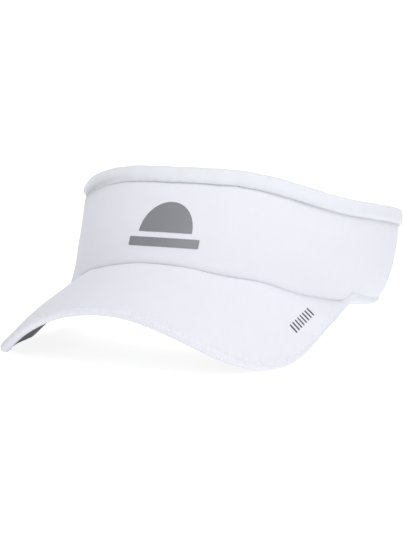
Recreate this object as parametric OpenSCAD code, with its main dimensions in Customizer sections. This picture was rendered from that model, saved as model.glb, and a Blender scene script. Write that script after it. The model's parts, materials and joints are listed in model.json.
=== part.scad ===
// Sports sun visor: a padded head band, a curved brim and a hook-and-loop strap at the back.
// It lies on a table on the two sides of its brim and on its rear hem, with the brim towards -Y.
// Sizes are in millimetres. X points to the wearer's left, Z points up.

/* [Head band] */
// Width of the head opening at the hem, from temple to temple
ring_w = 172; // [140:1:210]
// Distance from the temples forward to the forehead, at the hem
ring_front = 101.5; // [92:0.5:122]
// Height of the crown above the hem plane at the forehead
front_h = 68.3; // [56:0.1:82]
// Height of the crown at the temples
side_h = 57.3; // [50:0.1:62]
// Height that the crown falls towards at the back
rear_h = 46.6; // [42:0.1:50]
// Backward lean of the forehead panel, per millimetre of height
front_lean = 0.327; // [0.25:0.001:0.4]
// Outward lean of the sides, per millimetre of height
side_flare = 0.132; // [0.05:0.001:0.2]
// Bulge of the forehead panel at half its height
front_swell = 3.6; // [1:0.1:5]
// Bulge of the side bands at half their height
side_swell = 2.4; // [1:0.1:4]
// Angle from the back centre to the end of each side band
band_end = 28; // [26:1:32]

/* [Plies] */
// Thickness of the outer fabric and its foam
shell_t = 1.2; // [0.8:0.1:1.8]
// Thickness of the stiff interlining
core_t = 1.4; // [1:0.1:2]
// Thickness of the tape that covers the brim seam inside
tape_t = 0.5; // [0.3:0.1:0.8]
// Height of the seam tape
tape_h = 11; // [8:0.5:15]
// Thickness of the towelling sweatband
sweat_t = 1.6; // [1:0.1:2.2]
// Height of the sweatband above the brim or the hem binding
sweat_h = 30; // [22:1:34]
// Clearance between neighbouring plies
ply_gap = 0.15; // [0.1:0.05:0.3]

/* [Bindings] */
// Height of the padded roll round the top edge
roll_h = 9.3; // [7:0.1:12]
// Thickness of the padded roll
roll_t = 6; // [4.5:0.1:7.5]
// How far the roll stands proud of the outer fabric
roll_proud = 2; // [1:0.1:2.5]
// Height of the binding round the lower edge
hem_h = 7; // [5:0.1:9]
// How far the hem binding stands proud of the fabric, outside and inside
hem_proud = 0.7; // [0.4:0.1:1]
// Width of the end binding of each side band, in degrees of the ring
end_bind = 2.4; // [1.5:0.1:3.5]

/* [Brim] */
// How far the brim reaches sideways past the head opening
brim_side = 1.4; // [0.5:0.1:6]
// Length of the brim in front of the forehead
brim_len = 56.1; // [45:0.1:70]
// Distance from the forehead back to the brim's widest place
brim_wide_back = 35.3; // [30:0.1:42]
// Squareness of the brim's outline, where 2 is an ellipse
brim_square = 2.8; // [2.2:0.1:3.4]
// Height of the brim above the hem plane at the forehead
brim_rise = 12.3; // [8:0.1:16]
// Fall of the brim per millimetre of length
brim_fall = 0.483; // [0.35:0.001:0.6]
// Angle from the forehead round to the brim's ends
brim_reach = 76.1; // [70:0.1:80]
// Height of the brim's ends above the hem plane
brim_end_rise = 2; // [0.5:0.1:4]
// Power of the brim's arch, where 2 is a parabola
arch_power = 2.12; // [1.8:0.01:2.6]
// Thickness of the fabric on each face of the brim
cover_t = 0.6; // [0.4:0.1:1]
// Thickness of the plastic board in the brim
board_t = 2.0; // [1.2:0.1:2.6]
// Width of the rolled binding at the brim's edge
edge_w = 4.4; // [3.5:0.1:6]

/* [Strap] */
// Height of the strap webbing
strap_h = 25; // [20:1:30]
// Clearance between the strap and the hem binding below it
strap_lift = 0.5; // [0.3:0.1:2]
// Clearance between the strap and the padded roll above it
strap_clear = 1.5; // [0.5:0.1:3]
// Thickness of the webbing
web_t = 1.4; // [1:0.1:1.8]
// Thickness of the hook patch and of the loop patch
patch_t = 0.6; // [0.4:0.1:0.8]
// Clearance between the hooks and the loops
grip_gap = 0.5; // [0.4:0.05:0.8]
// Angle from the back centre to each strap's end
strap_reach = 13; // [11:1:14]
// Angle that each strap is sewn along its side band
strap_sewn = 8; // [6:1:10]
// Length of the bare pull end of the tab, in degrees of the ring
pull_len = 4; // [3:0.5:5]

/* [Motion] */
// Clearance across each temple seam and across the tab's fold
seam_gap = 0.6; // [0.5:0.05:0.8]

/* [Stitches and marks] */
// Length of a stitch
stitch_len = 2.6; // [2:0.1:3]
// Distance from one stitch to the next
stitch_pitch = 4; // [3.2:0.1:5]
// Thickness of the thread
thread_t = 0.45; // [0.3:0.05:0.6]
// Width of the printed emblem
emblem_w = 46; // [30:1:50]
// Height of the printed emblem
emblem_h = 27; // [20:1:30]
// Height of the emblem's lower edge above the hem plane
emblem_z = 21.5; // [20:0.5:28]
// Thickness of the printed film
print_t = 0.25; // [0.15:0.05:0.4]
// Number of bars in the mark on the brim
bar_count = 8; // [3:1:9]

/* [Hidden] */

// Colours
white = [0.93, 0.94, 0.96];
soft_white = [0.88, 0.89, 0.93];
pale_grey = [0.80, 0.81, 0.84];
print_grey = [0.55, 0.56, 0.58];
dark_grey = [0.27, 0.27, 0.28];
board_white = [0.92, 0.92, 0.88];

// Ply faces, as offsets from the reference surface of the band; outwards is positive
shell_out = 2;
shell_in = shell_out - shell_t;
core_out = shell_in - ply_gap;
core_in = core_out - core_t;
tape_out = core_in - ply_gap;
tape_in = tape_out - tape_t;
sweat_out = tape_in - ply_gap;
sweat_in = sweat_out - sweat_t;
hem_out = shell_out + hem_proud;
hem_in = sweat_in - hem_proud;
roll_out = shell_out + roll_proud;

// Strap faces: the right strap lies in the interlining's place, and the left one lies outside it
loop_in = core_out + ply_gap;
loop_out = loop_in + patch_t;
tab_in = max(loop_out + grip_gap + patch_t, hem_out) + ply_gap;
tab_out = tab_in + web_t;
hook_out = tab_in - ply_gap;
hook_in = hook_out - patch_t;
inner_out = core_out;
inner_in = inner_out - web_t;
strap_z = hem_h + strap_lift;
strap_top = strap_z + strap_h;
patch_margin = 2.5;
fold_at = -strap_reach - 1;

// Shape constants of the crown
swell_h = 55;
peak_from = 15;
peak_to = 71;
tail_from = 118;
half_w = ring_w / 2;
half_seam = asin(seam_gap / 2 / half_w);
front_end = 90 - half_seam;

function smooth(t) = 0.5 - 0.5 * cos(180 * min(1, max(0, t)));
function bulge(z) = let (v = min(1.2, max(-0.2, z / swell_h))) 4 * v * (1 - v);
function side_r(z, t) = half_w + t + side_flare * z + side_swell * bulge(z);
function front_r(z, t) = ring_front + t - front_lean * z + front_swell * bulge(z);
// A point of the band: a is the angle from the forehead, z the height, t the offset outwards
function band(a, z, t) =
    [side_r(z, t) * sin(a), -(cos(a) > 0 ? front_r(z, t) : side_r(z, t)) * cos(a), z];
function plain_top(a) = front_h + (side_h - front_h) * smooth((abs(a) - peak_from) / (peak_to - peak_from))
    + (rear_h - side_h) * smooth((abs(a) - 90) / 90);
// Beyond tail_from the side bands narrow until they just hold the strap and the roll above it
rear_to = 180 - band_end - end_bind;
tail_drop = plain_top(rear_to) - (strap_top + strap_clear + roll_h);
function top_z(a) = plain_top(a) - tail_drop * smooth((abs(a) - tail_from) / (rear_to - tail_from));

// The brim's upper surface is an arched sheet that falls forwards
brim_w = half_w + brim_side;
brim_y = -(ring_front - brim_wide_back);
tip = band(brim_reach, 0, shell_out);
tip_drop = brim_rise + brim_fall * (tip.y + ring_front) - brim_end_rise;
brim_arch = tip_drop / pow(tip.x / brim_w, arch_power);
function arch(x) = brim_arch * pow(abs(x) / brim_w, arch_power);
function brim_z(x, y) = brim_rise + brim_fall * (y + ring_front) - arch(x);
function unit(v) = v / norm(v);
function brim_up(x, y) =
    unit([sign(x) * arch_power * arch(x) / max(abs(x), 0.001), -brim_fall, 1]);
function sink(p, depth) = p - depth * brim_up(p.x, p.y);

// Height at which the band meets the brim at the angle a
function meet(a, t, z = 0, n = 6) =
    n == 0 ? z : let (p = band(a, z, t)) meet(a, t, brim_z(p.x, p.y), n - 1);
hem_lap = 3;
hem_from = brim_reach - hem_lap;
function foot(a, t) = abs(a) < brim_reach ? meet(a, t) + ply_gap : 0;
function low_z(a, t) = abs(a) >= hem_from ? hem_h + ply_gap : foot(a, t);

// Stations along the band and along the brim
function steps(a, b, n) = [for (i = [0:n]) a + (b - a) * i / n];
sharp = 0.05;
front_steps = concat(steps(-front_end, -hem_from, 3), steps(-hem_from + sharp, hem_from - sharp, 40),
    steps(hem_from, front_end, 3));
rear_from = 90 + half_seam;
rear_steps = steps(rear_from, rear_to - sharp, 18);
tile_h = 11.5;
tile = ceil(front_h / tile_h);

// A solid skinned over closed rings; each ring goes out along one side and back along the other
module skin(rings) {
    n = len(rings[0]);
    m = len(rings);
    sides = [for (i = [0:m - 2], j = [0:n - 1]) let (a = i * n + j, b = i * n + (j + 1) % n)
        each [[a, b, b + n], [a, b + n, a + n]]];
    caps = [for (j = [0:n / 2 - 2]) let (a = j, b = j + 1, c = n - 2 - j, d = n - 1 - j, e = (m - 1) * n)
        each [[a, d, c], [a, c, b], [e + a, e + c, e + d], [e + a, e + b, e + c]]];
    polyhedron([for (r = rings) each r], concat(sides, caps), convexity = 6);
}

// One ply of the band between the offsets t0 and t1, over the angles in list
module ply(list, t0, t1, low, high) {
    skin([for (a = list) concat(
        [for (i = [0:tile]) let (z0 = low(a, t1), z = z0 + (high(a) - z0) * i / tile) band(a, z, t1)],
        [for (i = [tile:-1:0]) let (z0 = low(a, t0), z = z0 + (high(a) - z0) * i / tile) band(a, z, t0)])]);
}

// Rounded section of a binding, between the offsets t0 and t1 and the heights z0 and z1
function rounded(k, n) = let (w = 360 * (k + 0.5) / n, p = 0.62)
    [sign(cos(w)) * pow(abs(cos(w)), p), sign(sin(w)) * pow(abs(sin(w)), p)];
function bound(a, t0, t1, z0, z1, n) = [for (k = [0:n - 1]) let (q = rounded(k, n))
    band(a, (z0 + z1) / 2 + q.y * (z1 - z0) / 2, (t0 + t1) / 2 + q.x * (t1 - t0) / 2)];

module top_roll(list) {
    skin([for (a = list) bound(a, roll_out - roll_t, roll_out, top_z(a) - roll_h + ply_gap, top_z(a), 12)]);
}
module hem_roll(list) {
    skin([for (a = list) bound(a, hem_in, hem_out, foot(a, shell_out), hem_h, 10)]);
}

// Mirrored copy for the wearer's right side
module right_side() {
    mirror([1, 0, 0]) children();
}

// A wedge of the rear band that follows its slope, from angle a0 to a1 counted from the back centre
module rear_arc(a0, a1, t0, t1, z0, z1) {
    n = 6;
    side = [for (i = [0:n]) z0 + (z1 - z0) * i / n];
    rotate([0, 0, 90 + a0])
        rotate_extrude(angle = a1 - a0, $fn = 96)
            polygon(concat([for (z = side) [side_r(z, t1), z]],
                [for (i = [n:-1:0]) [side_r(side[i], t0), side[i]]]));
}

// A stitch that lies on the band at the angle a, height z and offset t; upright stitches run up the band
thread_gap = 0.06;
module stitch(a, z, t, upright = false) {
    p = band(a, z, t + thread_gap + thread_t / 2);
    along = band(a + 0.2, z, t) - band(a - 0.2, z, t);
    up = band(a, z + 0.5, t) - band(a, z - 0.5, t);
    turn = atan2(along.y, along.x);
    lean = atan2(up.x * sin(turn) - up.y * cos(turn), up.z);
    translate(p)
        rotate([lean, 0, turn])
            cube([upright ? thread_t : stitch_len, thread_t, upright ? stitch_len : thread_t], center = true);
}

// A rectangle of stitches that holds a strap, between two angles counted from the forehead
module stitch_box(a0, a1, z0, z1, t) {
    along = floor((a1 - a0) * PI / 180 * half_w / stitch_pitch);
    up = floor((z1 - z0) / stitch_pitch);
    for (i = [0:along], z = [z0, z1])
        stitch(a0 + (a1 - a0) * (i + 0.5) / (along + 1), z, t);
    for (j = [0:up], a = [a0, a1])
        stitch(a, z0 + (z1 - z0) * (j + 0.5) / (up + 1), t, true);
}

// Outline of the brim on one side, from its front centre (u = 0) to the temple (u = 1)
side_share = 0.77;
brim_deep = ring_front + brim_len + brim_y;
function outline_half(u) = u < side_share ?
    let (b = 90 * u / side_share,
        r = pow(pow(sin(b) / brim_w, brim_square) + pow(cos(b) / brim_deep, brim_square), -1 / brim_square))
        [r * sin(b), brim_y - r * cos(b)] :
    let (s = (u - side_share) / (1 - side_share), bend = [brim_w, 0.45 * brim_y + 0.55 * tip.y])
        [brim_w, brim_y] * pow(1 - s, 2) + bend * 2 * s * (1 - s) + [tip.x, tip.y] * s * s;
function outline(u) = let (p = outline_half(abs(u))) [sign(u) * p.x, p.y];
function on_brim(p) = [p.x, p.y, brim_z(p.x, p.y)];
// Direction from the outline towards the head, along the brim's surface
function inwards(u) = let (p = outline(u), d = unit([0, -20] - p))
    unit(on_brim(p + d) - on_brim(p));
function brim_outer(u, inset) = let (q = on_brim(outline(u)) + inset * inwards(u)) on_brim(q);
function brim_inner(u, t) = let (a = brim_reach * u) band(a, meet(a, t), t);
function brim_point(u, w, inset, t) =
    on_brim(brim_inner(u, t) * (1 - w) + brim_outer(u, inset) * w);

// One flat ply of the brim, between two depths below its upper surface
brim_stop = 0.94;
brim_steps = steps(-brim_stop, brim_stop, 48);
edge_deep = cover_t + ply_gap + board_t / 2;
edge_t = board_t + 2 * cover_t + 4 * ply_gap;
module brim_ply(d0, d1, inset) {
    nw = 5;
    skin([for (u = brim_steps) concat(
        [for (i = [0:nw]) sink(brim_point(u, i / nw, inset, tape_in), d0)],
        [for (i = [nw:-1:0]) sink(brim_point(u, i / nw, inset, tape_in), d1)])]);
}

// Rolled edge of the brim
function edge_ring(u, n) =
    let (c = sink(brim_outer(u, edge_w / 2), edge_deep), v = inwards(u), w = brim_up(c.x, c.y))
    [for (k = [0:n - 1]) let (q = rounded(k, n)) c - v * q.x * edge_w / 2 + w * q.y * edge_t / 2];
edge_stop = 0.955;
edge_rings = [for (u = steps(-edge_stop, edge_stop, 70)) edge_ring(u, 8)];
end_foot = 1.5;
hem_tail = concat(bound(rear_to, hem_in, hem_out, 0, hem_h, 10), [band(180 - band_end, end_foot, hem_out)]);

// Tilt at which the brim's sides and the rear hem rest on one plane
function lowest(pts, t) = min([for (p = pts) p.z * cos(t) - p.y * sin(t)]);
function level(front, rear, lo, hi, n = 16) =
    let (m = (lo + hi) / 2)
    n == 0 ? m :
    lowest(front, m) > lowest(rear, m) ? level(front, rear, lo, m, n - 1) :
    level(front, rear, m, hi, n - 1);
edge_points = [for (r = edge_rings) each r];
rest_tilt = level(edge_points, hem_tail, 0, 30);
rest_lift = -lowest(hem_tail, rest_tilt);
front_y = min([for (p = edge_points) p.y * cos(rest_tilt) + p.z * sin(rest_tilt)]);
rear_y = side_r(strap_top, tab_out) * cos(rest_tilt) + strap_top * sin(rest_tilt);

// Sets the visor down on its brim and its rear hem, centred on the origin
module stand() {
    translate([0, -(front_y + rear_y) / 2, rest_lift])
        rotate([-rest_tilt, 0, 0])
            children();
}

function seam_z(a) = top_z(a) - roll_h;
function sweat_top(a) = min(seam_z(a), low_z(a, sweat_in) + sweat_h);
function tape_top(a) = foot(a, tape_in) + tape_h;
low_fn = function(a, t) low_z(a, t);
foot_fn = function(a, t) foot(a, t);
seam_fn = function(a) seam_z(a);
sweat_fn = function(a) sweat_top(a);
tape_fn = function(a) tape_top(a);

// Pieces of the front

module front_panel() {
    color(white) stand() ply(front_steps, shell_in, shell_out, low_fn, seam_fn);
}
module front_interlining() {
    color(pale_grey) stand() ply(front_steps, core_in, core_out, low_fn, seam_fn);
}
module front_seam_tape() {
    color(soft_white) stand() ply(steps(1 - hem_from, hem_from - 1, 36), tape_in, tape_out, foot_fn, tape_fn);
}
module front_sweatband() {
    color(soft_white) stand() ply(front_steps, sweat_in, sweat_out, low_fn, sweat_fn);
}
module front_top_binding() {
    color(white) stand() top_roll(steps(-front_end, front_end, 48));
}
module left_temple_hem() {
    color(white) stand() hem_roll(steps(hem_from + sharp, front_end, 6));
}
module right_temple_hem() {
    color(white) stand() right_side() hem_roll(steps(hem_from + sharp, front_end, 6));
}
module top_binding_stitches() {
    span = 86;
    count = floor(span * PI / 90 * half_w / stitch_pitch);
    color(soft_white) stand()
        for (i = [0:count]) let (a = -span + 2 * span * i / count)
            stitch(a, seam_z(a) - thread_t, shell_out);
}

// A printed shape between two heights, which follow the sideways place s from the centre line
module print_on_front(w, low, high) {
    n = 16;
    skin([for (i = [0:n]) let (s = w / 2 * (2 * i / n - 1), a = asin(s / half_w), z0 = low(s), z1 = high(s))
        [band(a, z0, shell_out + ply_gap + print_t), band(a, (z0 + z1) / 2, shell_out + ply_gap + print_t),
            band(a, z1, shell_out + ply_gap + print_t), band(a, z1, shell_out + ply_gap),
            band(a, (z0 + z1) / 2, shell_out + ply_gap), band(a, z0, shell_out + ply_gap)]]);
}
// The emblem is a plain half disc above a bar
module emblem() {
    bar = emblem_h * 0.2;
    rise = emblem_h * 0.32;
    dome = emblem_h - rise;
    dome_w = emblem_w * 0.76;
    lip = 0.5;
    color(print_grey) stand() {
        print_on_front(emblem_w, function(s) emblem_z, function(s) emblem_z + bar);
        print_on_front(dome_w, function(s) emblem_z + rise,
            function(s) emblem_z + rise + lip + (dome - lip) * sqrt(max(0, 1 - pow(2 * s / dome_w, 2))));
    }
}

// Pieces of the brim

module brim_top_cover() {
    color(white) stand() brim_ply(0, cover_t, edge_w + ply_gap);
}
module brim_board() {
    color(board_white) stand()
        brim_ply(cover_t + ply_gap, cover_t + ply_gap + board_t, edge_w + ply_gap);
}
module brim_under_cover() {
    deep = cover_t + board_t + 2 * ply_gap;
    color(dark_grey) stand() brim_ply(deep, deep + cover_t, edge_w + ply_gap);
}
module brim_edge_binding() {
    color(pale_grey) stand() skin(edge_rings);
}
// The stitches are on the underside, where the edge is folded over the board
module brim_edge_stitches() {
    stops = 76;
    inset = edge_w - 1.2;
    deep = edge_deep + edge_t / 2 + ply_gap + thread_t / 2;
    color(soft_white) stand()
        for (i = [0:stops]) let (u = 1.76 * (i / stops - 0.5), p = sink(brim_outer(u, inset), deep),
            d = sink(brim_outer(u + 0.01, inset), deep) - p)
            translate(p)
                rotate([0, -atan2(d.z, norm([d.x, d.y])), atan2(d.y, d.x)])
                    cube([stitch_len, thread_t, thread_t], center = true);
}
// A short row of slanted bars on the brim, beside the wearer's left temple
module brim_mark() {
    bar_len = 5;
    bar_w = 1.6;
    bar_step = 3.6;
    from_side = 10.2;
    middle = 3.8;
    slant = 20;
    color(dark_grey) stand()
        for (i = [0:bar_count - 1])
            let (y = brim_y - middle + bar_step * (i - (bar_count - 1) / 2),
                p = on_brim([brim_w - from_side, y]), up = brim_up(p.x, p.y))
                translate(sink(p, -ply_gap - print_t / 2))
                    rotate([0, acos(up.z), atan2(up.y, up.x)])
                        rotate([0, 0, slant])
                            cube([bar_len, bar_w, print_t], center = true);
}
module size_label() {
    color(white) stand()
        ply(steps(-7, 7, 4), sweat_in - ply_gap - 0.4, sweat_in - ply_gap,
            function(a, t) foot(0, sweat_in) + 6, function(a) foot(0, sweat_in) + 20);
}

// Pieces of the side bands; the right band mirrors the left one

module band_shell() {
    ply(rear_steps, shell_in, shell_out, low_fn, seam_fn);
}
// The right interlining stops early, to leave room for the end of its strap
module band_interlining(stop) {
    ply(steps(rear_from, stop, 16), core_in, core_out, low_fn, seam_fn);
}
module band_sweatband() {
    ply(rear_steps, sweat_in, sweat_out, low_fn, sweat_fn);
}
module band_hem() {
    hem_roll(steps(rear_from, rear_to, 18));
}
module band_end_binding() {
    skin([for (a = steps(rear_to + sharp, 180 - band_end, 2))
        [for (side = [0, 1], i = [0:tile]) let (j = side == 0 ? i : tile - i,
            z = end_foot + (top_z(a) - 2 * end_foot) * j / tile)
            band(a, z, side == 0 ? hem_out : core_out + ply_gap)]]);
}

module left_band_shell() {
    color(white) stand() band_shell();
}
module left_band_interlining() {
    color(pale_grey) stand() band_interlining(rear_to - sharp);
}
module left_sweatband() {
    color(soft_white) stand() band_sweatband();
}
module left_top_binding() {
    color(white) stand() top_roll(rear_steps);
}
module left_hem_binding() {
    color(white) stand() band_hem();
}
module left_end_binding() {
    color(soft_white) stand() band_end_binding();
}
module right_band_shell() {
    color(white) stand() right_side() band_shell();
}
module right_band_interlining() {
    color(pale_grey) stand() right_side() band_interlining(rear_to - strap_sewn - 0.5);
}
module right_sweatband() {
    color(soft_white) stand() right_side() band_sweatband();
}
module right_top_binding() {
    color(white) stand() right_side() top_roll(rear_steps);
}
module right_hem_binding() {
    color(white) stand() right_side() band_hem();
}
module right_end_binding() {
    color(soft_white) stand() right_side() band_end_binding();
}

// Pieces of the closure; angles are counted from the back centre, towards the wearer's right

half_fold = half_seam;
module left_strap() {
    color(white) stand() rear_arc(-band_end - end_bind - strap_sewn, fold_at - half_fold, tab_in, tab_out,
        strap_z, strap_top);
}
module right_strap() {
    color(white) stand()
        rear_arc(-strap_reach, band_end + end_bind + strap_sewn, inner_in, inner_out, strap_z, strap_top);
}
module loop_patch() {
    color(pale_grey) stand() rear_arc(patch_margin / 2 - strap_reach, band_end - 3, loop_in, loop_out,
        strap_z + patch_margin, strap_top - patch_margin);
}
module strap_tab() {
    color(white) stand()
        rear_arc(fold_at + half_fold, strap_reach - pull_len, tab_in, tab_out, strap_z, strap_top);
}
module hook_patch() {
    color(pale_grey) stand() rear_arc(fold_at + 2, strap_reach - pull_len - 1, hook_in, hook_out,
        strap_z + patch_margin, strap_top - patch_margin);
}
module pull_end() {
    color(soft_white) stand() rear_arc(strap_reach - pull_len + 0.1, strap_reach, tab_in, tab_out + 0.6,
        strap_z + 1, strap_top - 1);
}
module left_strap_stitches() {
    color(soft_white) stand()
        stitch_box(rear_to - strap_sewn + 1, rear_to - 1, strap_z + patch_margin, strap_top - patch_margin,
            tab_out);
}
module right_strap_stitches() {
    color(soft_white) stand() right_side()
        stitch_box(rear_to - strap_sewn + 1, rear_to - 1, strap_z + patch_margin, strap_top - patch_margin,
            shell_out);
}
module tab_stitches() {
    color(soft_white) stand()
        stitch_box(180 + fold_at + 2.5, 180 + strap_reach - pull_len - 1.5, strap_z + patch_margin,
            strap_top - patch_margin, tab_out);
}
module care_label() {
    color(white) stand() right_side()
        ply(steps(118, 130, 4), sweat_in - ply_gap - 0.4, sweat_in - ply_gap,
            function(a, t) hem_h + 3, function(a) hem_h + 22);
}

front_panel();
front_interlining();
front_seam_tape();
front_sweatband();
front_top_binding();
left_temple_hem();
right_temple_hem();
top_binding_stitches();
emblem();
brim_top_cover();
brim_board();
brim_under_cover();
brim_edge_binding();
brim_edge_stitches();
brim_mark();
size_label();
left_band_shell();
left_band_interlining();
left_sweatband();
left_top_binding();
left_hem_binding();
left_end_binding();
left_strap();
left_strap_stitches();
right_band_shell();
right_band_interlining();
right_sweatband();
right_top_binding();
right_hem_binding();
right_end_binding();
right_strap();
right_strap_stitches();
loop_patch();
care_label();
strap_tab();
hook_patch();
pull_end();
tab_stitches();
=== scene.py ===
"""A sports sun visor: cloth, bindings, brim, straps and stage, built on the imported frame."""

import json
import math

import bmesh
import bpy
import numpy as np
from mathutils import Matrix, Vector


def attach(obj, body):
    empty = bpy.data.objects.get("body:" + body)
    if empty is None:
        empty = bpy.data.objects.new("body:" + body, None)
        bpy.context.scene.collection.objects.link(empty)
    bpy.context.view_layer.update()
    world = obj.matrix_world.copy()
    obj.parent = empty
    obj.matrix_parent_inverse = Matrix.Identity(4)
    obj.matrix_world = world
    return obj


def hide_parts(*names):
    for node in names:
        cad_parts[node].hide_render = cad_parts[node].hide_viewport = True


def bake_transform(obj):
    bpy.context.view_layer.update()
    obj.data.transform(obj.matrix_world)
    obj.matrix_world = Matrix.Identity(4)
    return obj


bl_info = {
    "name": "Sports Sun Visor",
    "version": (1, 0, 0),
    "blender": (4, 5, 0),
    "location": "View3D > Sidebar > Visor",
    "description": "Builds the cloth, brim, bindings, straps and stage of a sports sun visor",
    "category": "Object",
}

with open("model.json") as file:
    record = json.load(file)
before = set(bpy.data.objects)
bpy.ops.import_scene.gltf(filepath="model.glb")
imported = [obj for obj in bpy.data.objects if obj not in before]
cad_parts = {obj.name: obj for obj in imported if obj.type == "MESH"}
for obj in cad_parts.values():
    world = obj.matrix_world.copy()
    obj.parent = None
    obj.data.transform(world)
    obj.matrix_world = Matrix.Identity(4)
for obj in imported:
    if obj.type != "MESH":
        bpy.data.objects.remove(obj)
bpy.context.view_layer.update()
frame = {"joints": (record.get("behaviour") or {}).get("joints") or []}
JOINTS = {joint["name"]: joint for joint in frame["joints"]}
MM = 0.001
DEG = math.pi / 180


# ---------------------------------------------------------------- sizes and colours


def length(name, description, default):
    """A length property in metres."""
    return bpy.props.FloatProperty(
        name=name, description=description, default=default, unit="LENGTH", precision=4)


def ratio(name, description, default):
    """A plain number property."""
    return bpy.props.FloatProperty(
        name=name, description=description, default=default, precision=3)


def degrees(name, description, default):
    """An angle property, given in degrees."""
    return bpy.props.FloatProperty(
        name=name, description=description, default=math.radians(default), subtype="ANGLE")


def hex_colour(name, description, default):
    """A colour property, written as an sRGB hex value."""
    return bpy.props.StringProperty(name=name, description=description, default=default)


class VisorBand(bpy.types.PropertyGroup):
    """Sizes of the head band"""

    front_reach: length("Front reach", "Distance from the temples forward to the forehead", 0.1015)
    front_height: length("Front height", "Height of the crown at the forehead", 0.0683)
    side_height: length("Side height", "Height of the crown at the temples", 0.0573)
    rear_height: length("Rear height", "Height that the crown falls towards at the back", 0.0466)
    front_lean: ratio("Front lean", "Backward lean of the forehead panel per unit of height", 0.327)
    front_swell: length("Front swell", "Bulge of the forehead panel at half height", 0.0036)
    side_swell: length("Side swell", "Bulge of the side bands at half height", 0.0024)
    swell_height: length("Swell height", "Height over which the bulge rises and falls", 0.055)
    peak_from: degrees("Peak from", "Angle where the top edge starts to fall", 15.0)
    peak_to: degrees("Peak to", "Angle where the top edge reaches the side height", 71.0)
    tail_from: degrees("Tail from", "Angle where the side bands start to narrow", 118.0)
    band_end: degrees("Band end", "Angle from the back centre to the end of each side band", 28.0)
    end_width: degrees("End binding", "Width of the binding across the end of each side band", 2.4)
    foot_spread: length("Foot spread", "How far the brim's right end pushes out the crown's foot", 0.0065)
    press: length("Press", "How far the band is pressed in beside the right temple", 0.0016)
    draw_in: length("Draw in", "How far the hem is drawn in behind the temples", 0.0058)
    curl_up: length("Curl up", "How far the hem's lower edge curls up behind the temples", 0.0030)
    rear_rise: length("Rear rise", "How far the top edge rises behind the temples", 0.0020)


class VisorPlies(bpy.types.PropertyGroup):
    """Offsets of the plies from the band's reference surface, and the bindings"""

    shell_out: length("Outer face", "Offset of the outer fabric's face", 0.0020)
    shell_in: length("Outer back", "Offset of the outer fabric's back", 0.0008)
    core_out: length("Interlining face", "Offset of the interlining's outer face", 0.00065)
    core_in: length("Interlining back", "Offset of the interlining's inner face", -0.00075)
    tape_in: length("Tape face", "Offset of the seam tape's inner face", -0.0014)
    sweat_out: length("Sweatband back", "Offset of the sweatband's outer face", -0.00155)
    sweat_in: length("Sweatband face", "Offset of the sweatband's inner face", -0.00315)
    sweat_height: length("Sweatband height", "Height of the sweatband", 0.030)
    tape_height: length("Tape height", "Height of the seam tape", 0.011)
    roll_height: length("Roll height", "Height of the padded roll", 0.0093)
    roll_out: length("Roll face", "Offset of the roll's outer face", 0.0040)
    roll_in: length("Roll back", "Offset of the roll's inner face", -0.0020)
    fuller: length("Fuller", "How much taller the roll is beyond the right brow", 0.0024)
    hem_height: length("Hem height", "Height of the binding round the lower edge", 0.0070)
    hem_out: length("Hem face", "Offset of the hem binding's outer face", 0.0027)
    hem_in: length("Hem back", "Offset of the hem binding's inner face", -0.00385)


class VisorBrim(bpy.types.PropertyGroup):
    """Sizes of the brim"""

    side: length("Side overhang", "How far the brim reaches past the head opening", 0.0014)
    reach: length("Length", "Length of the brim in front of the forehead", 0.0561)
    wide_back: length("Widest place", "Distance from the forehead back to the widest place", 0.0353)
    square: ratio("Squareness", "Squareness of the outline, where 2 is an ellipse", 2.8)
    rise: length("Rise", "Height of the brim at the forehead", 0.0123)
    fall: ratio("Fall", "Fall of the brim per unit of length", 0.483)
    arch_power: ratio("Arch power", "Power of the arch, where 2 is a parabola", 2.12)
    end_angle: degrees("End angle", "Angle from the forehead round to the brim's ends", 76.1)
    end_rise: length("End rise", "Height of the brim's ends above the hem plane", 0.0020)
    board: length("Board", "Thickness of the plastic board", 0.0020)
    cover: length("Cover", "Thickness of the fabric on each face", 0.0006)
    edge: length("Edge", "Width of the rolled edge", 0.0044)
    bow: length("Bow", "How far the cloth stands above the board at the front corners", 0.0032)
    left_rise: length("Left rise", "How far the cloth rises to the crown's foot at the left temple", 0.0021)
    right_dip: length("Right dip", "How far the brim dips between the crown and the right lobe", 0.0023)
    edge_dip: length("Edge dip", "How much further the right side edge dips", 0.0014)
    lobe_growth: ratio("Lobe growth", "How much larger the outline is at the right lobe", 0.02)
    plump: length("Plump", "How much thicker the turned edge is at the right lobe", 0.0007)


class VisorStrap(bpy.types.PropertyGroup):
    """Sizes of the strap, its patches and the stitches"""

    height: length("Strap height", "Height of the webbing", 0.025)
    low: length("Strap foot", "Height of the webbing's lower edge", 0.0075)
    outer_in: length("Outer strap back", "Offset of the outer strap's inner face", 0.00285)
    outer_out: length("Outer strap face", "Offset of the outer strap's outer face", 0.00425)
    inner_in: length("Inner strap back", "Offset of the inner strap's inner face", -0.00075)
    inner_out: length("Inner strap face", "Offset of the inner strap's outer face", 0.00065)
    loop_out: length("Loop face", "Offset of the loop patch's face", 0.0014)
    hook_in: length("Hook face", "Offset of the hook patch's face", 0.0021)
    reach: degrees("Strap reach", "Angle from the back centre to each strap's end", 13.0)
    sewn: degrees("Sewn length", "Angle that each strap is sewn along its band", 8.0)
    fold: degrees("Fold", "Angle from the back centre to the tab's fold", 14.0)
    pull: degrees("Pull end", "Length of the bare pull end", 4.0)
    margin: length("Patch margin", "Border of webbing round each patch", 0.0025)
    stitch: length("Stitch", "Length of a stitch", 0.0026)
    pitch: length("Stitch pitch", "Distance from one stitch to the next", 0.0036)
    thread: length("Thread", "Thickness of the thread", 0.00045)


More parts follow.
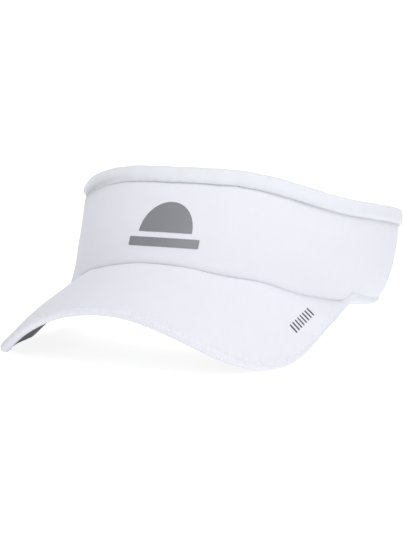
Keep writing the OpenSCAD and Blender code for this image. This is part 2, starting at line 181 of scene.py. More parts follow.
class VisorPrints(bpy.types.PropertyGroup):
    """Sizes and places of the prints"""

    emblem_width: length("Emblem width", "Width of the emblem's bar", 0.0425)
    emblem_height: length("Emblem height", "Height of the whole emblem", 0.0255)
    emblem_low: length("Emblem foot", "Height of the emblem's lower edge above the hem", 0.0220)
    emblem_aside: length("Emblem offset", "How far the emblem stands to the wearer's left", 0.0024)
    bars: bpy.props.IntProperty(name="Bars", description="Number of bars on the brim", default=8)
    bar_pitch: length("Bar pitch", "Distance from one bar to the next", 0.00295)
    bar_length: length("Bar length", "Length of a bar", 0.0038)
    bar_width: length("Bar width", "Width of a bar", 0.0011)
    bars_forward: length("Bars forward", "Distance of the row's middle in front of the widest place", 0.0076)
    bars_inwards: length("Bars inwards", "Distance of the row in from the widest place", 0.0091)


class VisorColours(bpy.types.PropertyGroup):
    """Colours of the visor's finishes"""

    white: hex_colour("White cloth", "Stretch-woven polyester of the crown", "#E6E7EF")
    brim_white: hex_colour("Brim cloth", "Stretch-woven polyester of the brim", "#E6E7EF")
    roll_white: hex_colour("Roll cloth", "Padded roll and hem binding", "#E5E7EE")
    towel: hex_colour("Towelling", "Sweatband", "#E6E7EC")
    backing: hex_colour("Backing", "Foam-backed lining", "#D9DAE0")
    underside: hex_colour("Under brim", "Dark twill below the brim", "#47484B")
    emblem: hex_colour("Emblem", "Reflective transfer film", "#919298")
    ink: hex_colour("Ink", "Dark transfer ink on the brim", "#55565B")
    webbing: hex_colour("Webbing", "Strap webbing", "#E2E4EA")
    thread: hex_colour("Thread", "Sewing thread", "#EEEFF4")
    board: hex_colour("Board", "Moulded board in the brim", "#E8E8E2")
    hooks: hex_colour("Hooks", "Hook patch", "#D8DADF")
    loops: hex_colour("Loops", "Loop patch", "#DDDFE6")
    ribbon: hex_colour("Ribbon", "Labels", "#F1F1EF")
    tape: hex_colour("Tape", "Seam tape, pull end and end bindings", "#E4E5EA")
    floor: hex_colour("Floor", "Studio floor", "#A6A6A6")


# ---------------------------------------------------------------- shape of the visor


def smooth(t):
    """0 before 0, 1 after 1, and a half cosine wave between."""
    return 0.5 - 0.5 * np.cos(np.pi * np.clip(t, 0, 1))


def hill(x, centre, width):
    """A smooth bump, 1 at its centre, that fades over about the given width."""
    return np.exp(-((x - centre) / width) ** 2)


def ripple(x, y, wave, seed, stretch=1.0, terms=14):
    """Smooth seeded waves of about the given wavelength; stretch lengthens them along y."""
    rng = np.random.default_rng(seed)
    total = np.zeros(np.broadcast(x, y).shape)
    for _ in range(terms):
        turn, phase = rng.uniform(0, 2 * np.pi, 2)
        rate = 2 * np.pi / (wave * rng.uniform(0.7, 1.5))
        total += np.cos(rate * (x * np.cos(turn) + y * np.sin(turn) / stretch) + phase)
    return total / math.sqrt(terms)


class Crown:
    """The head band as a surface of angle from the forehead, height above the hem and offset outwards."""

    def __init__(self, scene):
        self.band, self.plies, self.brim, self.strap = (
            scene.visor_band, scene.visor_plies, scene.visor_brim, scene.visor_strap)
        left, right = (np.array(JOINTS[name]["pos_m"]) for name in ("left_temple", "right_temple"))
        axis = JOINTS["left_temple"]["axis"]
        self.centre = (left + right) / 2
        self.half_width = float(left[0])
        self.tilt = math.atan2(axis[1], axis[2])
        self.flare = axis[0] / math.hypot(axis[1], axis[2])
        self.rear_to = math.pi - self.band.band_end - self.band.end_width
        strap_room = self.strap.low + self.strap.height + 1.5 * MM + self.plies.roll_height
        self.tail_drop = float(self.plain_top(np.array(self.rear_to))) - strap_room

    def bulge(self, z):
        v = np.clip(z / self.band.swell_height, -0.2, 1.2)
        return 4 * v * (1 - v)

    def drawn_in(self, a, z):
        """How far the hem is drawn in behind the temples."""
        turn = np.abs(a)
        begins = smooth((turn - 78 * DEG) / (18 * DEG))
        ends = smooth((turn - 118 * DEG) / (20 * DEG))
        return self.band.draw_in * begins * (1 - ends) * np.exp(-np.maximum(z, 0) / self.plies.hem_height)

    def hollow(self, a, z):
        """How far the band is pressed in at half its height beside the right temple."""
        return self.band.press * hill(a, -62 * DEG, 22 * DEG) * hill(z, 36 * MM, 16 * MM)

    def side_radius(self, z, t):
        return self.half_width + t + self.flare * z + self.band.side_swell * self.bulge(z)

    def front_radius(self, z, t):
        return self.band.front_reach + t - self.band.front_lean * z + self.band.front_swell * self.bulge(z)

    def point(self, a, z, t):
        """A point in the band's own frame, before it is set down on the table."""
        a, z, t = np.broadcast_arrays(np.asarray(a, float), np.asarray(z, float), np.asarray(t, float))
        t = t - self.drawn_in(a, z) - self.hollow(a, z)
        reach = np.where(np.cos(a) > 0, self.front_radius(z, t), self.side_radius(z, t))
        return np.stack([self.side_radius(z, t) * np.sin(a), -reach * np.cos(a), z], -1)

    def place(self, p):
        """Sets points of the band's frame down on the table, in the row frame."""
        c, s = math.cos(self.tilt), math.sin(self.tilt)
        x, y, z = p[..., 0], p[..., 1], p[..., 2]
        turned = np.stack([x, y * c + z * s, z * c - y * s], -1)
        return turned + self.centre

    def set_down(self, p, least=0.05):
        """As place, but no point lies lower than the given height in millimetres above the table."""
        placed = self.place(p)
        placed[..., 2] = np.maximum(placed[..., 2], least * MM)
        return placed

    def at(self, a, z, t):
        return self.place(self.point(a, z, t))

    def plain_top(self, a):
        b, a = self.band, np.abs(a)
        peak = smooth((a - b.peak_from) / (b.peak_to - b.peak_from))
        back = smooth((a - math.pi / 2) / (math.pi / 2))
        to_side, to_rear = b.side_height - b.front_height, b.rear_height - b.side_height
        return b.front_height + to_side * peak + to_rear * back

    def top(self, a):
        tail = smooth((np.abs(a) - self.band.tail_from) / (self.rear_to - self.band.tail_from))
        rise = self.band.rear_rise * hill(np.abs(a), 115 * DEG, 15 * DEG)
        return self.plain_top(a) - self.tail_drop * tail + rise

    def seam(self, a):
        """Height of the seam below the padded roll."""
        return self.top(a) - self.plies.roll_height

    def along(self, a):
        """Length along the band from the forehead, at about half its height."""
        grid = np.linspace(0, math.pi, 721)
        p = self.point(grid, 0.03, 0)
        run = np.concatenate([[0], np.cumsum(np.linalg.norm(np.diff(p, axis=0), axis=1))])
        return np.sign(a) * np.interp(np.abs(a), grid, run)

    def foot(self, a, t):
        """Height at which the band meets the brim, or the hem plane behind the brim's ends."""
        a = np.asarray(a, float)
        z = np.zeros(np.broadcast(a, t).shape)
        for _ in range(8):
            p = self.point(a, z, t)
            z = Brim(self).height(p[..., 0], p[..., 1])
        return np.where(np.abs(a) < self.brim.end_angle, z, 0.0)

    def hem_lift(self, a):
        """How far the hem's lower edge curls up behind the temples."""
        return self.band.curl_up * hill(np.abs(a), 116 * DEG, 14 * DEG)


class Brim:
    """The brim's upper surface and outline; u runs from the right temple (-1) to the left one (1)."""

    side_share = 0.77

    def __init__(self, crown):
        self.crown, self.size = crown, crown.brim
        b, s = crown.band, crown.brim
        self.width = crown.half_width + s.side
        self.wide_y = -(b.front_reach - s.wide_back)
        self.deep = b.front_reach + s.reach + self.wide_y
        self.tip = crown.point(s.end_angle, 0, crown.plies.shell_out)
        drop = s.rise + s.fall * (self.tip[1] + b.front_reach) - s.end_rise
        self.arch = drop / (self.tip[0] / self.width) ** s.arch_power

    def height(self, x, y, bow=True):
        """Height of the upper surface; the cloth also bows above the board at the front corners."""
        b, s = self.crown.band, self.size
        arch = self.arch * (np.abs(x) / self.width) ** s.arch_power
        dip = s.right_dip * hill(x, -74 * MM, 15 * MM) * hill(y, -90 * MM, 15 * MM)
        dip = dip + s.edge_dip * hill(x, -88 * MM, 9 * MM) * hill(y, -96 * MM, 16 * MM)
        board = s.rise + s.fall * (y + b.front_reach) - arch - dip
        if not bow:
            return board
        sideways = (np.abs(x) / self.width) ** s.square
        forwards = (np.maximum(self.wide_y - y, 0) / self.deep) ** s.square
        to_edge = np.clip((sideways + forwards) ** (1 / s.square), 0, 1)
        corner = smooth((np.abs(x) - 28 * MM) / (38 * MM)) * smooth((-y - 58 * MM) / (38 * MM))
        turn = np.arctan2(np.abs(x) / self.width, np.maximum(-y, 1e-6) / b.front_reach)
        at_crown = hill(np.hypot(x / self.width, y / b.front_reach), 1, 0.22)
        at_temple = smooth((turn - 24 * DEG) / (22 * DEG)) * (1 - smooth((turn - 57 * DEG) / (15 * DEG)))
        return board + s.bow * corner * (1 - to_edge ** 8) + s.left_rise * at_temple * at_crown * (x > 0)

    def up(self, p):
        """Unit normal of the brim's plain arch at plan points, leaving out its dips and bows."""
        x = p[..., 0]
        slope = self.size.arch_power * self.arch * (np.abs(x) / self.width) ** self.size.arch_power
        n = np.stack([np.sign(x) * slope / np.maximum(np.abs(x), 1e-6), np.full(x.shape, -self.size.fall),
                      np.ones(x.shape)], -1)
        return n / np.linalg.norm(n, axis=-1, keepdims=True)

    def on(self, p, bow=True):
        return np.stack([p[..., 0], p[..., 1], self.height(p[..., 0], p[..., 1], bow)], -1)

    def outline(self, u):
        v = np.abs(u)
        b = np.pi / 2 * np.minimum(v / self.side_share, 1)
        n = self.size.square
        r = ((np.sin(b) / self.width) ** n + (np.cos(b) / self.deep) ** n) ** (-1 / n)
        s = np.clip((v - self.side_share) / (1 - self.side_share), 0, 1)[..., None]
        bend = np.array([self.width, 0.45 * self.wide_y + 0.55 * self.tip[1]])
        front = np.stack([r * np.sin(b), self.wide_y - r * np.cos(b)], -1)
        widest = np.array([self.width, self.wide_y])
        back = widest * (1 - s) ** 2 + bend * 2 * s * (1 - s) + self.tip[:2] * s * s
        q = np.where(v[..., None] < self.side_share, front, back)
        grown = 1 + self.size.lobe_growth * hill(u, -0.47, 0.15)
        return np.stack([np.sign(u) * q[..., 0] * grown, q[..., 1] * grown], -1)

    def inwards(self, u):
        """Unit direction from the outline towards the head, along the surface."""
        p = self.outline(u)
        d = np.array([0.0, -20 * MM]) - p
        d /= np.linalg.norm(d, axis=-1, keepdims=True)
        v = self.on(p + d * MM) - self.on(p)
        return v / np.linalg.norm(v, axis=-1, keepdims=True)

    def outer(self, u, inset):
        return self.on(self.on(self.outline(u)) + inset * self.inwards(u))

    def inner(self, u, t):
        a = self.size.end_angle * u
        return self.on(self.crown.point(a, self.crown.foot(a, t), t))


# ---------------------------------------------------------------- mesh helpers


def new_object(name, verts, faces, uv):
    """A smooth mesh object; uv holds cloth coordinates in metres."""
    mesh = bpy.data.meshes.new(name)
    mesh.from_pydata(verts.reshape(-1, 3).tolist(), [], faces.tolist() if hasattr(faces, "tolist") else faces)
    layer = mesh.uv_layers.new(name="cloth")
    loops = np.zeros(len(mesh.loops), np.int32)
    mesh.loops.foreach_get("vertex_index", loops)
    layer.data.foreach_set("uv", uv.reshape(-1, 2)[loops].astype(np.float32).ravel())
    mesh.validate()
    mesh.shade_smooth()
    mesh.set_sharp_from_angle(angle=math.radians(50))
    obj = bpy.data.objects.new(name, mesh)
    bpy.context.scene.collection.objects.link(obj)
    return obj


def quads(n, m, start=0, flip=False, wrap=False):
    """Faces of an n by m grid of vertices; wrap joins the last column to the first."""
    i, j = np.meshgrid(np.arange(n - 1), np.arange(m if wrap else m - 1), indexing="ij")
    k = (j + 1) % m
    face = np.stack([i * m + j, (i + 1) * m + j, (i + 1) * m + k, i * m + k], -1).reshape(-1, 4) + start
    return face[:, ::-1] if flip else face


def sheet_object(name, face, back, uv):
    """A closed cloth sheet from two grids of points: its face and its back."""
    n, m = face.shape[:2]
    size = n * m
    i, j = np.arange(n), np.arange(m)
    ring = np.concatenate([i * m, (n - 1) * m + j[1:], (i * m + m - 1)[::-1][1:], j[::-1][1:-1]])
    after = np.roll(ring, -1)
    rim = np.stack([ring, after, after + size, ring + size], -1)
    faces = np.concatenate([quads(n, m, 0, True), quads(n, m, size), rim])
    obj = new_object(name, np.concatenate([face.reshape(-1, 3), back.reshape(-1, 3)]), faces,
                     np.concatenate([uv.reshape(-1, 2), uv.reshape(-1, 2)]))
    return face_outwards(obj)


def tube_object(name, rings, uv):
    """A closed tube from rings of points, with a fan across each end."""
    n, k = rings.shape[:2]
    ends = np.stack([rings[0].mean(0), rings[-1].mean(0)])
    j = np.arange(k)
    first = np.stack([np.full(k, n * k), (j + 1) % k, j], -1).tolist()
    last = np.stack([np.full(k, n * k + 1), (n - 1) * k + j, (n - 1) * k + (j + 1) % k], -1).tolist()
    faces = quads(n, k, wrap=True).tolist() + first + last
    uv_all = np.concatenate([uv.reshape(-1, 2), uv[0].mean(0)[None], uv[-1].mean(0)[None]])
    obj = new_object(name, np.concatenate([rings.reshape(-1, 3), ends]), faces, uv_all)
    return face_outwards(obj)


def face_outwards(obj):
    """Turns every face of a closed mesh outwards."""
    bm = bmesh.new()
    bm.from_mesh(obj.data)
    bmesh.ops.recalc_face_normals(bm, faces=bm.faces)
    bm.to_mesh(obj.data)
    bm.free()
    return obj


def rounded_box(width, height, corner, step=0.5 * MM):
    """Evenly spaced points round a box with rounded corners, counter-clockwise."""
    x, y = width / 2 - corner, height / 2 - corner
    turns = np.linspace(0, np.pi / 2, 6)
    corners = ((1, 1, 0), (-1, 1, np.pi / 2), (-1, -1, np.pi), (1, -1, 3 * np.pi / 2))
    ring = [(sx * x + corner * np.cos(t + q), sy * y + corner * np.sin(t + q))
            for sx, sy, q in corners for t in turns]
    return evenly(np.array(ring), step)


def evenly(ring, step):
    """Points spaced evenly along a closed outline."""
    loop = np.concatenate([ring, ring[:1]])
    run = np.concatenate([[0], np.cumsum(np.linalg.norm(np.diff(loop, axis=0), axis=1))])
    s = np.linspace(0, run[-1], max(24, int(run[-1] / step)), endpoint=False)
    return np.stack([np.interp(s, run, loop[:, 0]), np.interp(s, run, loop[:, 1])], -1)


def superellipse(k, power):
    """k points round a rounded rectangle of half sizes 1; a smaller power is squarer."""
    w = 2 * np.pi * (np.arange(k) + 0.5) / k
    c, s = np.cos(w), np.sin(w)
    return np.stack([np.sign(c) * np.abs(c) ** power, np.sign(s) * np.abs(s) ** power], -1)


def finish_piece(obj, material, nodes=(), body=None, across=None):
    """Gives a piece its material and hides the CAD nodes it stands for; it hangs on the body it moves with,
    or, when it spans two bodies, its place is baked into its mesh.
    """
    obj.data.materials.append(material)
    if nodes:
        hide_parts(*nodes)
    if across:
        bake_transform(obj)
    else:
        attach(obj, body)
    return obj


def temple_blend(crown, side):
    """The bodies and the stretch over which cloth turns at a temple; side is 1 left, -1 right."""
    band = "left_band" if side > 0 else "right_band"
    reach = 14 * MM
    run = np.array([0, math.cos(crown.tilt), -math.sin(crown.tilt)]) * reach
    seam = crown.centre + np.array([side * crown.half_width, 0, 0])
    return "crown", band, tuple(seam - run), tuple(seam + run)


SIDES = ((1, "left"), (-1, "right"))


# ---------------------------------------------------------------- materials


def linear(text):
    """An sRGB hex value as a linear colour."""
    srgb = [int(text[i:i + 2], 16) / 255 for i in (1, 3, 5)]
    return [c / 12.92 if c <= 0.04045 else ((c + 0.055) / 1.055) ** 2.4 for c in srgb] + [1.0]


def add(tree, kind, settings=None, **links):
    """Adds a node with its settings; links maps an input's name to a socket or a value."""
    node = tree.nodes.new(kind)
    for key, value in (settings or {}).items():
        setattr(node, key, value)
    for key, value in links.items():
        by_number = key[0] == "_" and key[1:].isdigit()
        socket = node.inputs[int(key[1:])] if by_number else node.inputs[key.replace("_", " ")]
        if isinstance(value, bpy.types.NodeSocket):
            tree.links.new(value, socket)
        else:
            socket.default_value = value
    return node


def start_material(name):
    """A new material's tree with its surface shader and the cloth coordinates."""
    material = bpy.data.materials.new(name)
    material.use_nodes = True
    tree = material.node_tree
    shader = tree.nodes["Principled BSDF"]
    uv = add(tree, "ShaderNodeUVMap", {"uv_map": "cloth"}).outputs["UV"]
    return material, tree, shader, uv


def combine(tree, operation, *values):
    """The result of a maths node; each value is a socket or a number."""
    links = {f"_{i}": value for i, value in enumerate(values)}
    return add(tree, "ShaderNodeMath", {"operation": operation}, **links).outputs[0]


def blend(tree, factor, first, second, kind="MIX"):
    """A colour between two others, or one times the other."""
    settings = {"data_type": "RGBA", "blend_type": kind}
    return add(tree, "ShaderNodeMix", settings, Factor=factor, _6=first, _7=second).outputs[2]


def darker(colour, low):
    return [c * low for c in colour[:3]] + [1.0]


def wave(tree, vector, direction, period):
    """Even waves of the given period in metres along x or y of the cloth."""
    settings = {"wave_type": "BANDS", "bands_direction": direction, "wave_profile": "SIN"}
    scale = 2 * math.pi / 20 / period
    node = add(tree, "ShaderNodeTexWave", settings, Vector=vector, Scale=scale, Distortion=0.0)
    return node.outputs["Fac"]


def mottled(tree, vector, colour, low, scale, detail=3.0):
    """A colour that varies softly between itself and low times itself."""
    noise = add(tree, "ShaderNodeTexNoise", None, Vector=vector, Scale=scale, Detail=detail, Roughness=0.55)
    return blend(tree, noise.outputs["Fac"], darker(colour, low), colour)


def dress(tree, shader, colour, height, depth, **values):
    """Gives the surface shader its colour, its bump and the values of its other inputs."""
    bump = add(tree, "ShaderNodeBump", None, Strength=1.0, Distance=depth, Height=height)
    tree.links.new(colour, shader.inputs["Base Color"])
    tree.links.new(bump.outputs["Normal"], shader.inputs["Normal"])
    for name, value in values.items():
        shader.inputs[name.replace("_", " ")].default_value = value


def edge_ribs(tree, uv, height, strength):
    """Adds short ribs to a cloth's height near the turned edge, where y counts back from its end."""
    inset = add(tree, "ShaderNodeSeparateXYZ", None, _0=uv).outputs["Y"]
    settings = {"clamp": True, "interpolation_type": "SMOOTHSTEP"}
    near = add(tree, "ShaderNodeMapRange", settings, Value=inset, From_Min=-17 * MM, From_Max=-9 * MM,
               To_Min=0.0, To_Max=strength).outputs[0]
    return combine(tree, "MULTIPLY_ADD", wave(tree, uv, "X", 1.9 * MM), near, height)


def woven(name, text, rib_x, rib_y, depth, rough, sheen=0.15, low=0.97, edge_rib=0.0):
    """Woven cloth: two crossed sets of threads, drawn a little coarser than life so that they show."""
    material, tree, shader, uv = start_material(name)
    across = wave(tree, uv, "X", rib_x)
    along = wave(tree, uv, "Y", rib_y)
    threads = combine(tree, "MULTIPLY", across, along)
    fuzz = add(tree, "ShaderNodeTexNoise", None, Vector=uv, Scale=2600.0, Detail=2.0, Roughness=0.6)
    height = combine(tree, "MULTIPLY_ADD", fuzz.outputs["Fac"], 0.45, threads)
    if edge_rib:
        height = edge_ribs(tree, uv, height, edge_rib)
    base = mottled(tree, uv, linear(text), low, 90.0)
    # Painted shade: the gaps between the threads are drawn 3 percent darker
    light = add(tree, "ShaderNodeMapRange", {"clamp": True}, Value=threads, To_Min=0.97, To_Max=1.0)
    # The fold attribute holds painted shade: it darkens the colour by up to 30 percent in creases, under the
    # roll and on the shaded side
    fold = add(tree, "ShaderNodeAttribute", {"attribute_name": "fold"})
    painted_shade_factor = combine(tree, "MULTIPLY_ADD", fold.outputs["Fac"], -0.30, 1.0)
    shade = combine(tree, "MULTIPLY", light.outputs[0], painted_shade_factor)
    tint = blend(tree, 1.0, base, shade, "MULTIPLY")
    dress(tree, shader, tint, height, depth, Roughness=rough, IOR=1.46, Specular_IOR_Level=0.3,
          Sheen_Weight=sheen, Sheen_Roughness=0.45)
    return material


def piled(name, text, grain, depth, rough, low=0.9):
    """Pile of small loops or hooks: rounded bumps of the given spacing, with painted shade darkening the
    colour between them.
    """
    material, tree, shader, uv = start_material(name)
    colour = linear(text)
    cells = add(tree, "ShaderNodeTexVoronoi", {"feature": "SMOOTH_F1"}, Vector=uv, Scale=1 / grain,
                Smoothness=0.6)
    rise = add(tree, "ShaderNodeMapRange", {"clamp": True}, Value=cells.outputs["Distance"],
               From_Max=0.8, To_Min=1.0, To_Max=0.0).outputs[0]
    # Painted shade: the colour is darker between the bumps
    base = blend(tree, rise, darker(colour, low), colour)
    dress(tree, shader, base, rise, depth, Roughness=rough, Sheen_Weight=0.25, Specular_IOR_Level=0.25)
    return material


def smooth_coat(name, text, rough, grain, depth, metallic=0.0, low=0.93):
    """Film, ink or moulded plastic: a smooth coat with a fine grain."""
    material, tree, shader, _ = start_material(name)
    place = add(tree, "ShaderNodeTexCoord").outputs["Object"]
    noise = add(tree, "ShaderNodeTexNoise", None, Vector=place, Scale=1 / grain, Detail=2.0).outputs["Fac"]
    base = mottled(tree, place, linear(text), low, 0.35 / grain)
    dress(tree, shader, base, noise, depth, Roughness=rough, Metallic=metallic)
    return material


def make_materials(colours):
    """Every finish of the visor, by name."""
    return {
        # Stretch-woven polyester: smooth, matt and opaque, with a faint upright rib
        "crown": woven("stretch-woven polyester", colours.white, 1.5 * MM, 1.0 * MM, 0.035 * MM, 0.78),
        # The same cloth pulled over the brim board, whose ribs run from the crown to the edge
        "brim": woven("stretched polyester over board", colours.brim_white, 1.6 * MM, 1.1 * MM, 0.03 * MM,
                      0.75, edge_rib=4.0),
        # The same cloth folded over wadding, softer and a little fuller
        "roll": woven("folded stretch polyester", colours.roll_white, 1.2 * MM, 1.0 * MM, 0.04 * MM,
                      0.8, 0.2),
        # Dark polyester twill: matt, with a fine diagonal line
        "underside": woven("dark polyester twill", colours.underside, 0.9 * MM, 0.9 * MM, 0.06 * MM,
                           0.85, 0.1, 0.85),
        # Cotton terry: short dense loops that scatter the light
        "towel": piled("cotton terry towelling", colours.towel, 1.1 * MM, 0.35 * MM, 0.95, 0.86),
        # Foam-backed tricot lining: very fine even knit
        "backing": woven("foam-backed tricot", colours.backing, 0.7 * MM, 0.9 * MM, 0.03 * MM, 0.9, 0.1),
        # Moulded low-density polyethylene board, slightly waxy
        "board": smooth_coat("moulded polyethylene", colours.board, 0.45, 1.2 * MM, 0.02 * MM),
        # Reflective transfer film: glass beads in grey binder give a dull metallic face
        "film": smooth_coat("reflective transfer film", colours.emblem, 0.48, 0.25 * MM, 0.01 * MM, 0.35),
        # Silicone transfer ink, matt and slightly raised
        "ink": smooth_coat("silicone transfer ink", colours.ink, 0.6, 0.4 * MM, 0.01 * MM),
        # Polyester webbing: heavy plain weave that is easy to see
        "webbing": woven("polyester webbing", colours.webbing, 1.3 * MM, 2.0 * MM, 0.16 * MM, 0.7, 0.1, 0.94),
        # Moulded nylon hooks: stiff little points that catch the light
        "hooks": piled("moulded nylon hook tape", colours.hooks, 1.0 * MM, 0.4 * MM, 0.5, 0.7),
        # Brushed nylon loops: soft unbroken nap
        "loops": piled("brushed nylon loop tape", colours.loops, 0.8 * MM, 0.2 * MM, 0.95, 0.85),
        # Polyester satin ribbon for the labels: smooth and slightly glossy
        "ribbon": woven("polyester satin ribbon", colours.ribbon, 0.5 * MM, 1.5 * MM, 0.02 * MM, 0.45, 0.0),
        # Cotton twill tape on the seams
        "tape": woven("cotton twill tape", colours.tape, 0.9 * MM, 1.1 * MM, 0.08 * MM, 0.85),
        # Spun polyester thread, with a soft lustre
        "thread": smooth_coat("spun polyester thread", colours.thread, 0.6, 0.3 * MM, 0.03 * MM),
    }


MATERIALS = {}


def setting():
    """The crown and its materials, as every operator needs them."""
    if not MATERIALS:
        MATERIALS.update(make_materials(bpy.context.scene.visor_colours))
    return Crown(bpy.context.scene), MATERIALS


# ---------------------------------------------------------------- cloth of the crown

SPLIT = 66 * DEG
DENSE = 2


def foot_spread(crown, a):
    """How far the cloth's foot stands outwards beside the brim's right end."""
    return crown.band.foot_spread * hill(a, -60 * DEG, 10 * DEG)


def outer_foot(crown, a):
    """Height at which the outer cloth meets the brim, or the hem plane behind the brim's ends."""
    return crown.foot(a, crown.plies.shell_out + foot_spread(crown, a))


def outer_offset(crown, a, z, base):
    """Offset of the outer cloth: its crease at the brim, its pull at the roll and its soft unevenness."""
    s = crown.along(a)
    foot, seam = outer_foot(crown, a), crown.seam(a)
    above, below = np.maximum(z - foot, 0), np.maximum(seam - z, 0)
    in_front = np.abs(a) < crown.brim.end_angle
    crease = 0.35 * MM * hill(above, 3 * MM, 2.2 * MM) - 1.3 * MM * np.exp(-above / (0.7 * MM))
    tuck = -1.2 * MM * (1 - 0.6 * far_turn(a)) * np.exp(-below / (0.8 * MM))
    pucker = 0.10 * MM * ripple(s, z, 7 * MM, 5, 2.5) * np.exp(-below / (4 * MM))
    soft = 0.16 * MM * ripple(s, z, 46 * MM, 11, 1.4) + 0.05 * MM * ripple(s, z, 17 * MM, 12, 1.8)
    spread = foot_spread(crown, a) * np.exp(-(above / (12 * MM)) ** 1.6)
    return base + np.where(in_front, crease, 0) + tuck + pucker + soft + spread


def far_turn(a):
    """0 at the forehead and 1 beyond the wearer's right brow, where the roll leans out over the panel."""
    return smooth((-a - 8 * DEG) / (42 * DEG))


def near_turn(a):
    """0 at the forehead and 1 beyond the wearer's left brow."""
    return smooth((a - 30 * DEG) / (30 * DEG))


def outer_painted_shade(crown, a, z):
    """How much painted shade darkens the outer cloth: 1 in the crease at the brim, 0.7 in the one under the
    roll, and a soft painted shade below the roll beyond the right brow."""
    above = np.maximum(z - outer_foot(crown, a), 0)
    below = np.maximum(crown.seam(a) - z, 0)
    in_front = smooth((crown.brim.end_angle - 1 * DEG - np.abs(a)) / (4 * DEG))
    crease_shade = in_front * hill(above, 0, 0.7 * MM) + 0.7 * hill(below, 0, 0.6 * MM)
    shaded = 0.4 * far_turn(a) * hill(below, 0, 3.5 * MM)
    return np.clip(crease_shade + shaded, 0, 1)


def set_painted_shade(obj, values):
    """Stores how much painted shade darkens each point of a cloth, in its fold attribute."""
    fold = obj.data.attributes.new("fold", "FLOAT", "POINT")
    fold.data.foreach_set("value", np.asarray(values, np.float32).ravel())


def band_sheet(crown, name, a0, a1, low, high, face_t, back_t, step=1.2 * MM, shaped=False):
    """A sheet of the band between two angles, two height functions and two offsets."""
    reach = abs(crown.along(np.array(a1)) - crown.along(np.array(a0)))
    n = max(6, int(reach / step) * DENSE // 2)
    m = max(5, int(np.max(high(np.array([a0, (a0 + a1) / 2, a1]))) / step) * DENSE // 2)
    a = np.linspace(a0, a1, n)[:, None]
    h = np.linspace(0, 1, m)[None, :]
    z = low(a) + (high(a) - low(a)) * h
    face = outer_offset(crown, a, z, face_t) if shaped else face_t + 0 * z
    back = face - (face_t - back_t)
    uv = np.stack([crown.along(a) + 0 * z, z], -1)
    obj = sheet_object(name, crown.at(a, z, face), crown.at(a, z, back), uv)
    if shaped:
        # Painted shade: the outer cloth is darker in its creases and below the roll
        fold = outer_painted_shade(crown, a, z)
        set_painted_shade(obj, np.concatenate([fold.ravel(), fold.ravel()]))
    return obj


class VISOR_OT_crown_cloth(bpy.types.Operator):
    """Builds the outer cloth of the forehead panel and of both side bands"""

    bl_idname = "visor.crown_cloth"
    bl_label = "Crown Cloth"

    def execute(self, context):
        crown, finish = setting()
        plies = crown.plies
        sink = 1.0 * MM

        def low(a):
            return np.where(np.abs(a) < crown.brim.end_angle, outer_foot(crown, a) - sink, 4.5 * MM)

        def high(a):
            return crown.seam(a) + 1.5 * MM

        front = band_sheet(crown, "forehead_cloth", -SPLIT, SPLIT, low, high,
                           plies.shell_out, plies.shell_in, shaped=True)
        finish_piece(front, finish["crown"], ["front_panel"], "crown")
        crown.along(SPLIT) * 2
        crown.top(0.0)
        for side, word in SIDES:
            cloth = band_sheet(crown, f"{word}_side_cloth", side * SPLIT, side * crown.rear_to, low, high,
                               plies.shell_out, plies.shell_in, shaped=True)
            finish_piece(cloth, finish["crown"], [f"{word}_band_shell"],
                         across=temple_blend(crown, side))
            crown.along(crown.rear_to) - crown.along(SPLIT)
            crown.top(SPLIT)
        return {"FINISHED"}


class VISOR_OT_linings(bpy.types.Operator):
    """Builds the foam-backed linings, the seam tape and the towelling sweatband"""

    bl_idname = "visor.linings"
    bl_label = "Linings and Sweatband"

    def execute(self, context):
        crown, finish = setting()
        plies = crown.plies

        def low(a):
            over_brim = crown.foot(a, plies.core_in) + 0.2 * MM
            return np.where(np.abs(a) < crown.brim.end_angle, over_brim, 4.5 * MM)

        def lining_top(a):
            return crown.seam(a) + 1.2 * MM

        def sweat_low(a):
            behind = smooth((np.abs(a) - SPLIT) / (10 * DEG))
            in_front = np.minimum(np.abs(a), crown.brim.end_angle - 0.01)
            over_brim = crown.foot(in_front, plies.sweat_in) - 4.4 * MM
            return over_brim * (1 - behind) + 5 * MM * behind

        def sweat_top(a):
            foot = np.maximum(sweat_low(a) + 4 * MM, 7 * MM)
            return np.minimum(crown.seam(a) - 1 * MM, foot + plies.sweat_height)

        def tape_top(a):
            return crown.foot(a, plies.tape_in) + plies.tape_height

        pieces = (
            ("lining", low, lining_top, plies.core_out, plies.core_in, "backing", "padding",
             "front_interlining", "band_interlining"),
            ("towelling", sweat_low, sweat_top, plies.sweat_out, plies.sweat_in, "towel", "towelling",
             "front_sweatband", "sweatband"),
        )
        for word, foot, top, face_t, back_t, look, slot, front_node, side_node in pieces:
            front = band_sheet(crown, f"front_{word}", -SPLIT, SPLIT, foot, top, face_t, back_t, 2 * MM)
            finish_piece(front, finish[look], [front_node], "crown")
            for side, name in SIDES:
                end = side * (crown.rear_to - 0.002)
                cloth = band_sheet(crown, f"{name}_{word}", side * SPLIT, end, foot, top,
                                   face_t, back_t, 2 * MM)
                finish_piece(cloth, finish[look], [f"{name}_{side_node}"],
                             across=temple_blend(crown, side))
        tape = band_sheet(crown, "brim_seam_tape", -SPLIT, SPLIT, low, tape_top, plies.core_in - 0.1 * MM,
                          plies.tape_in, 2 * MM)
        finish_piece(tape, finish["tape"], ["front_seam_tape"], "crown")
        crown.along(SPLIT) * 2
        return {"FINISHED"}


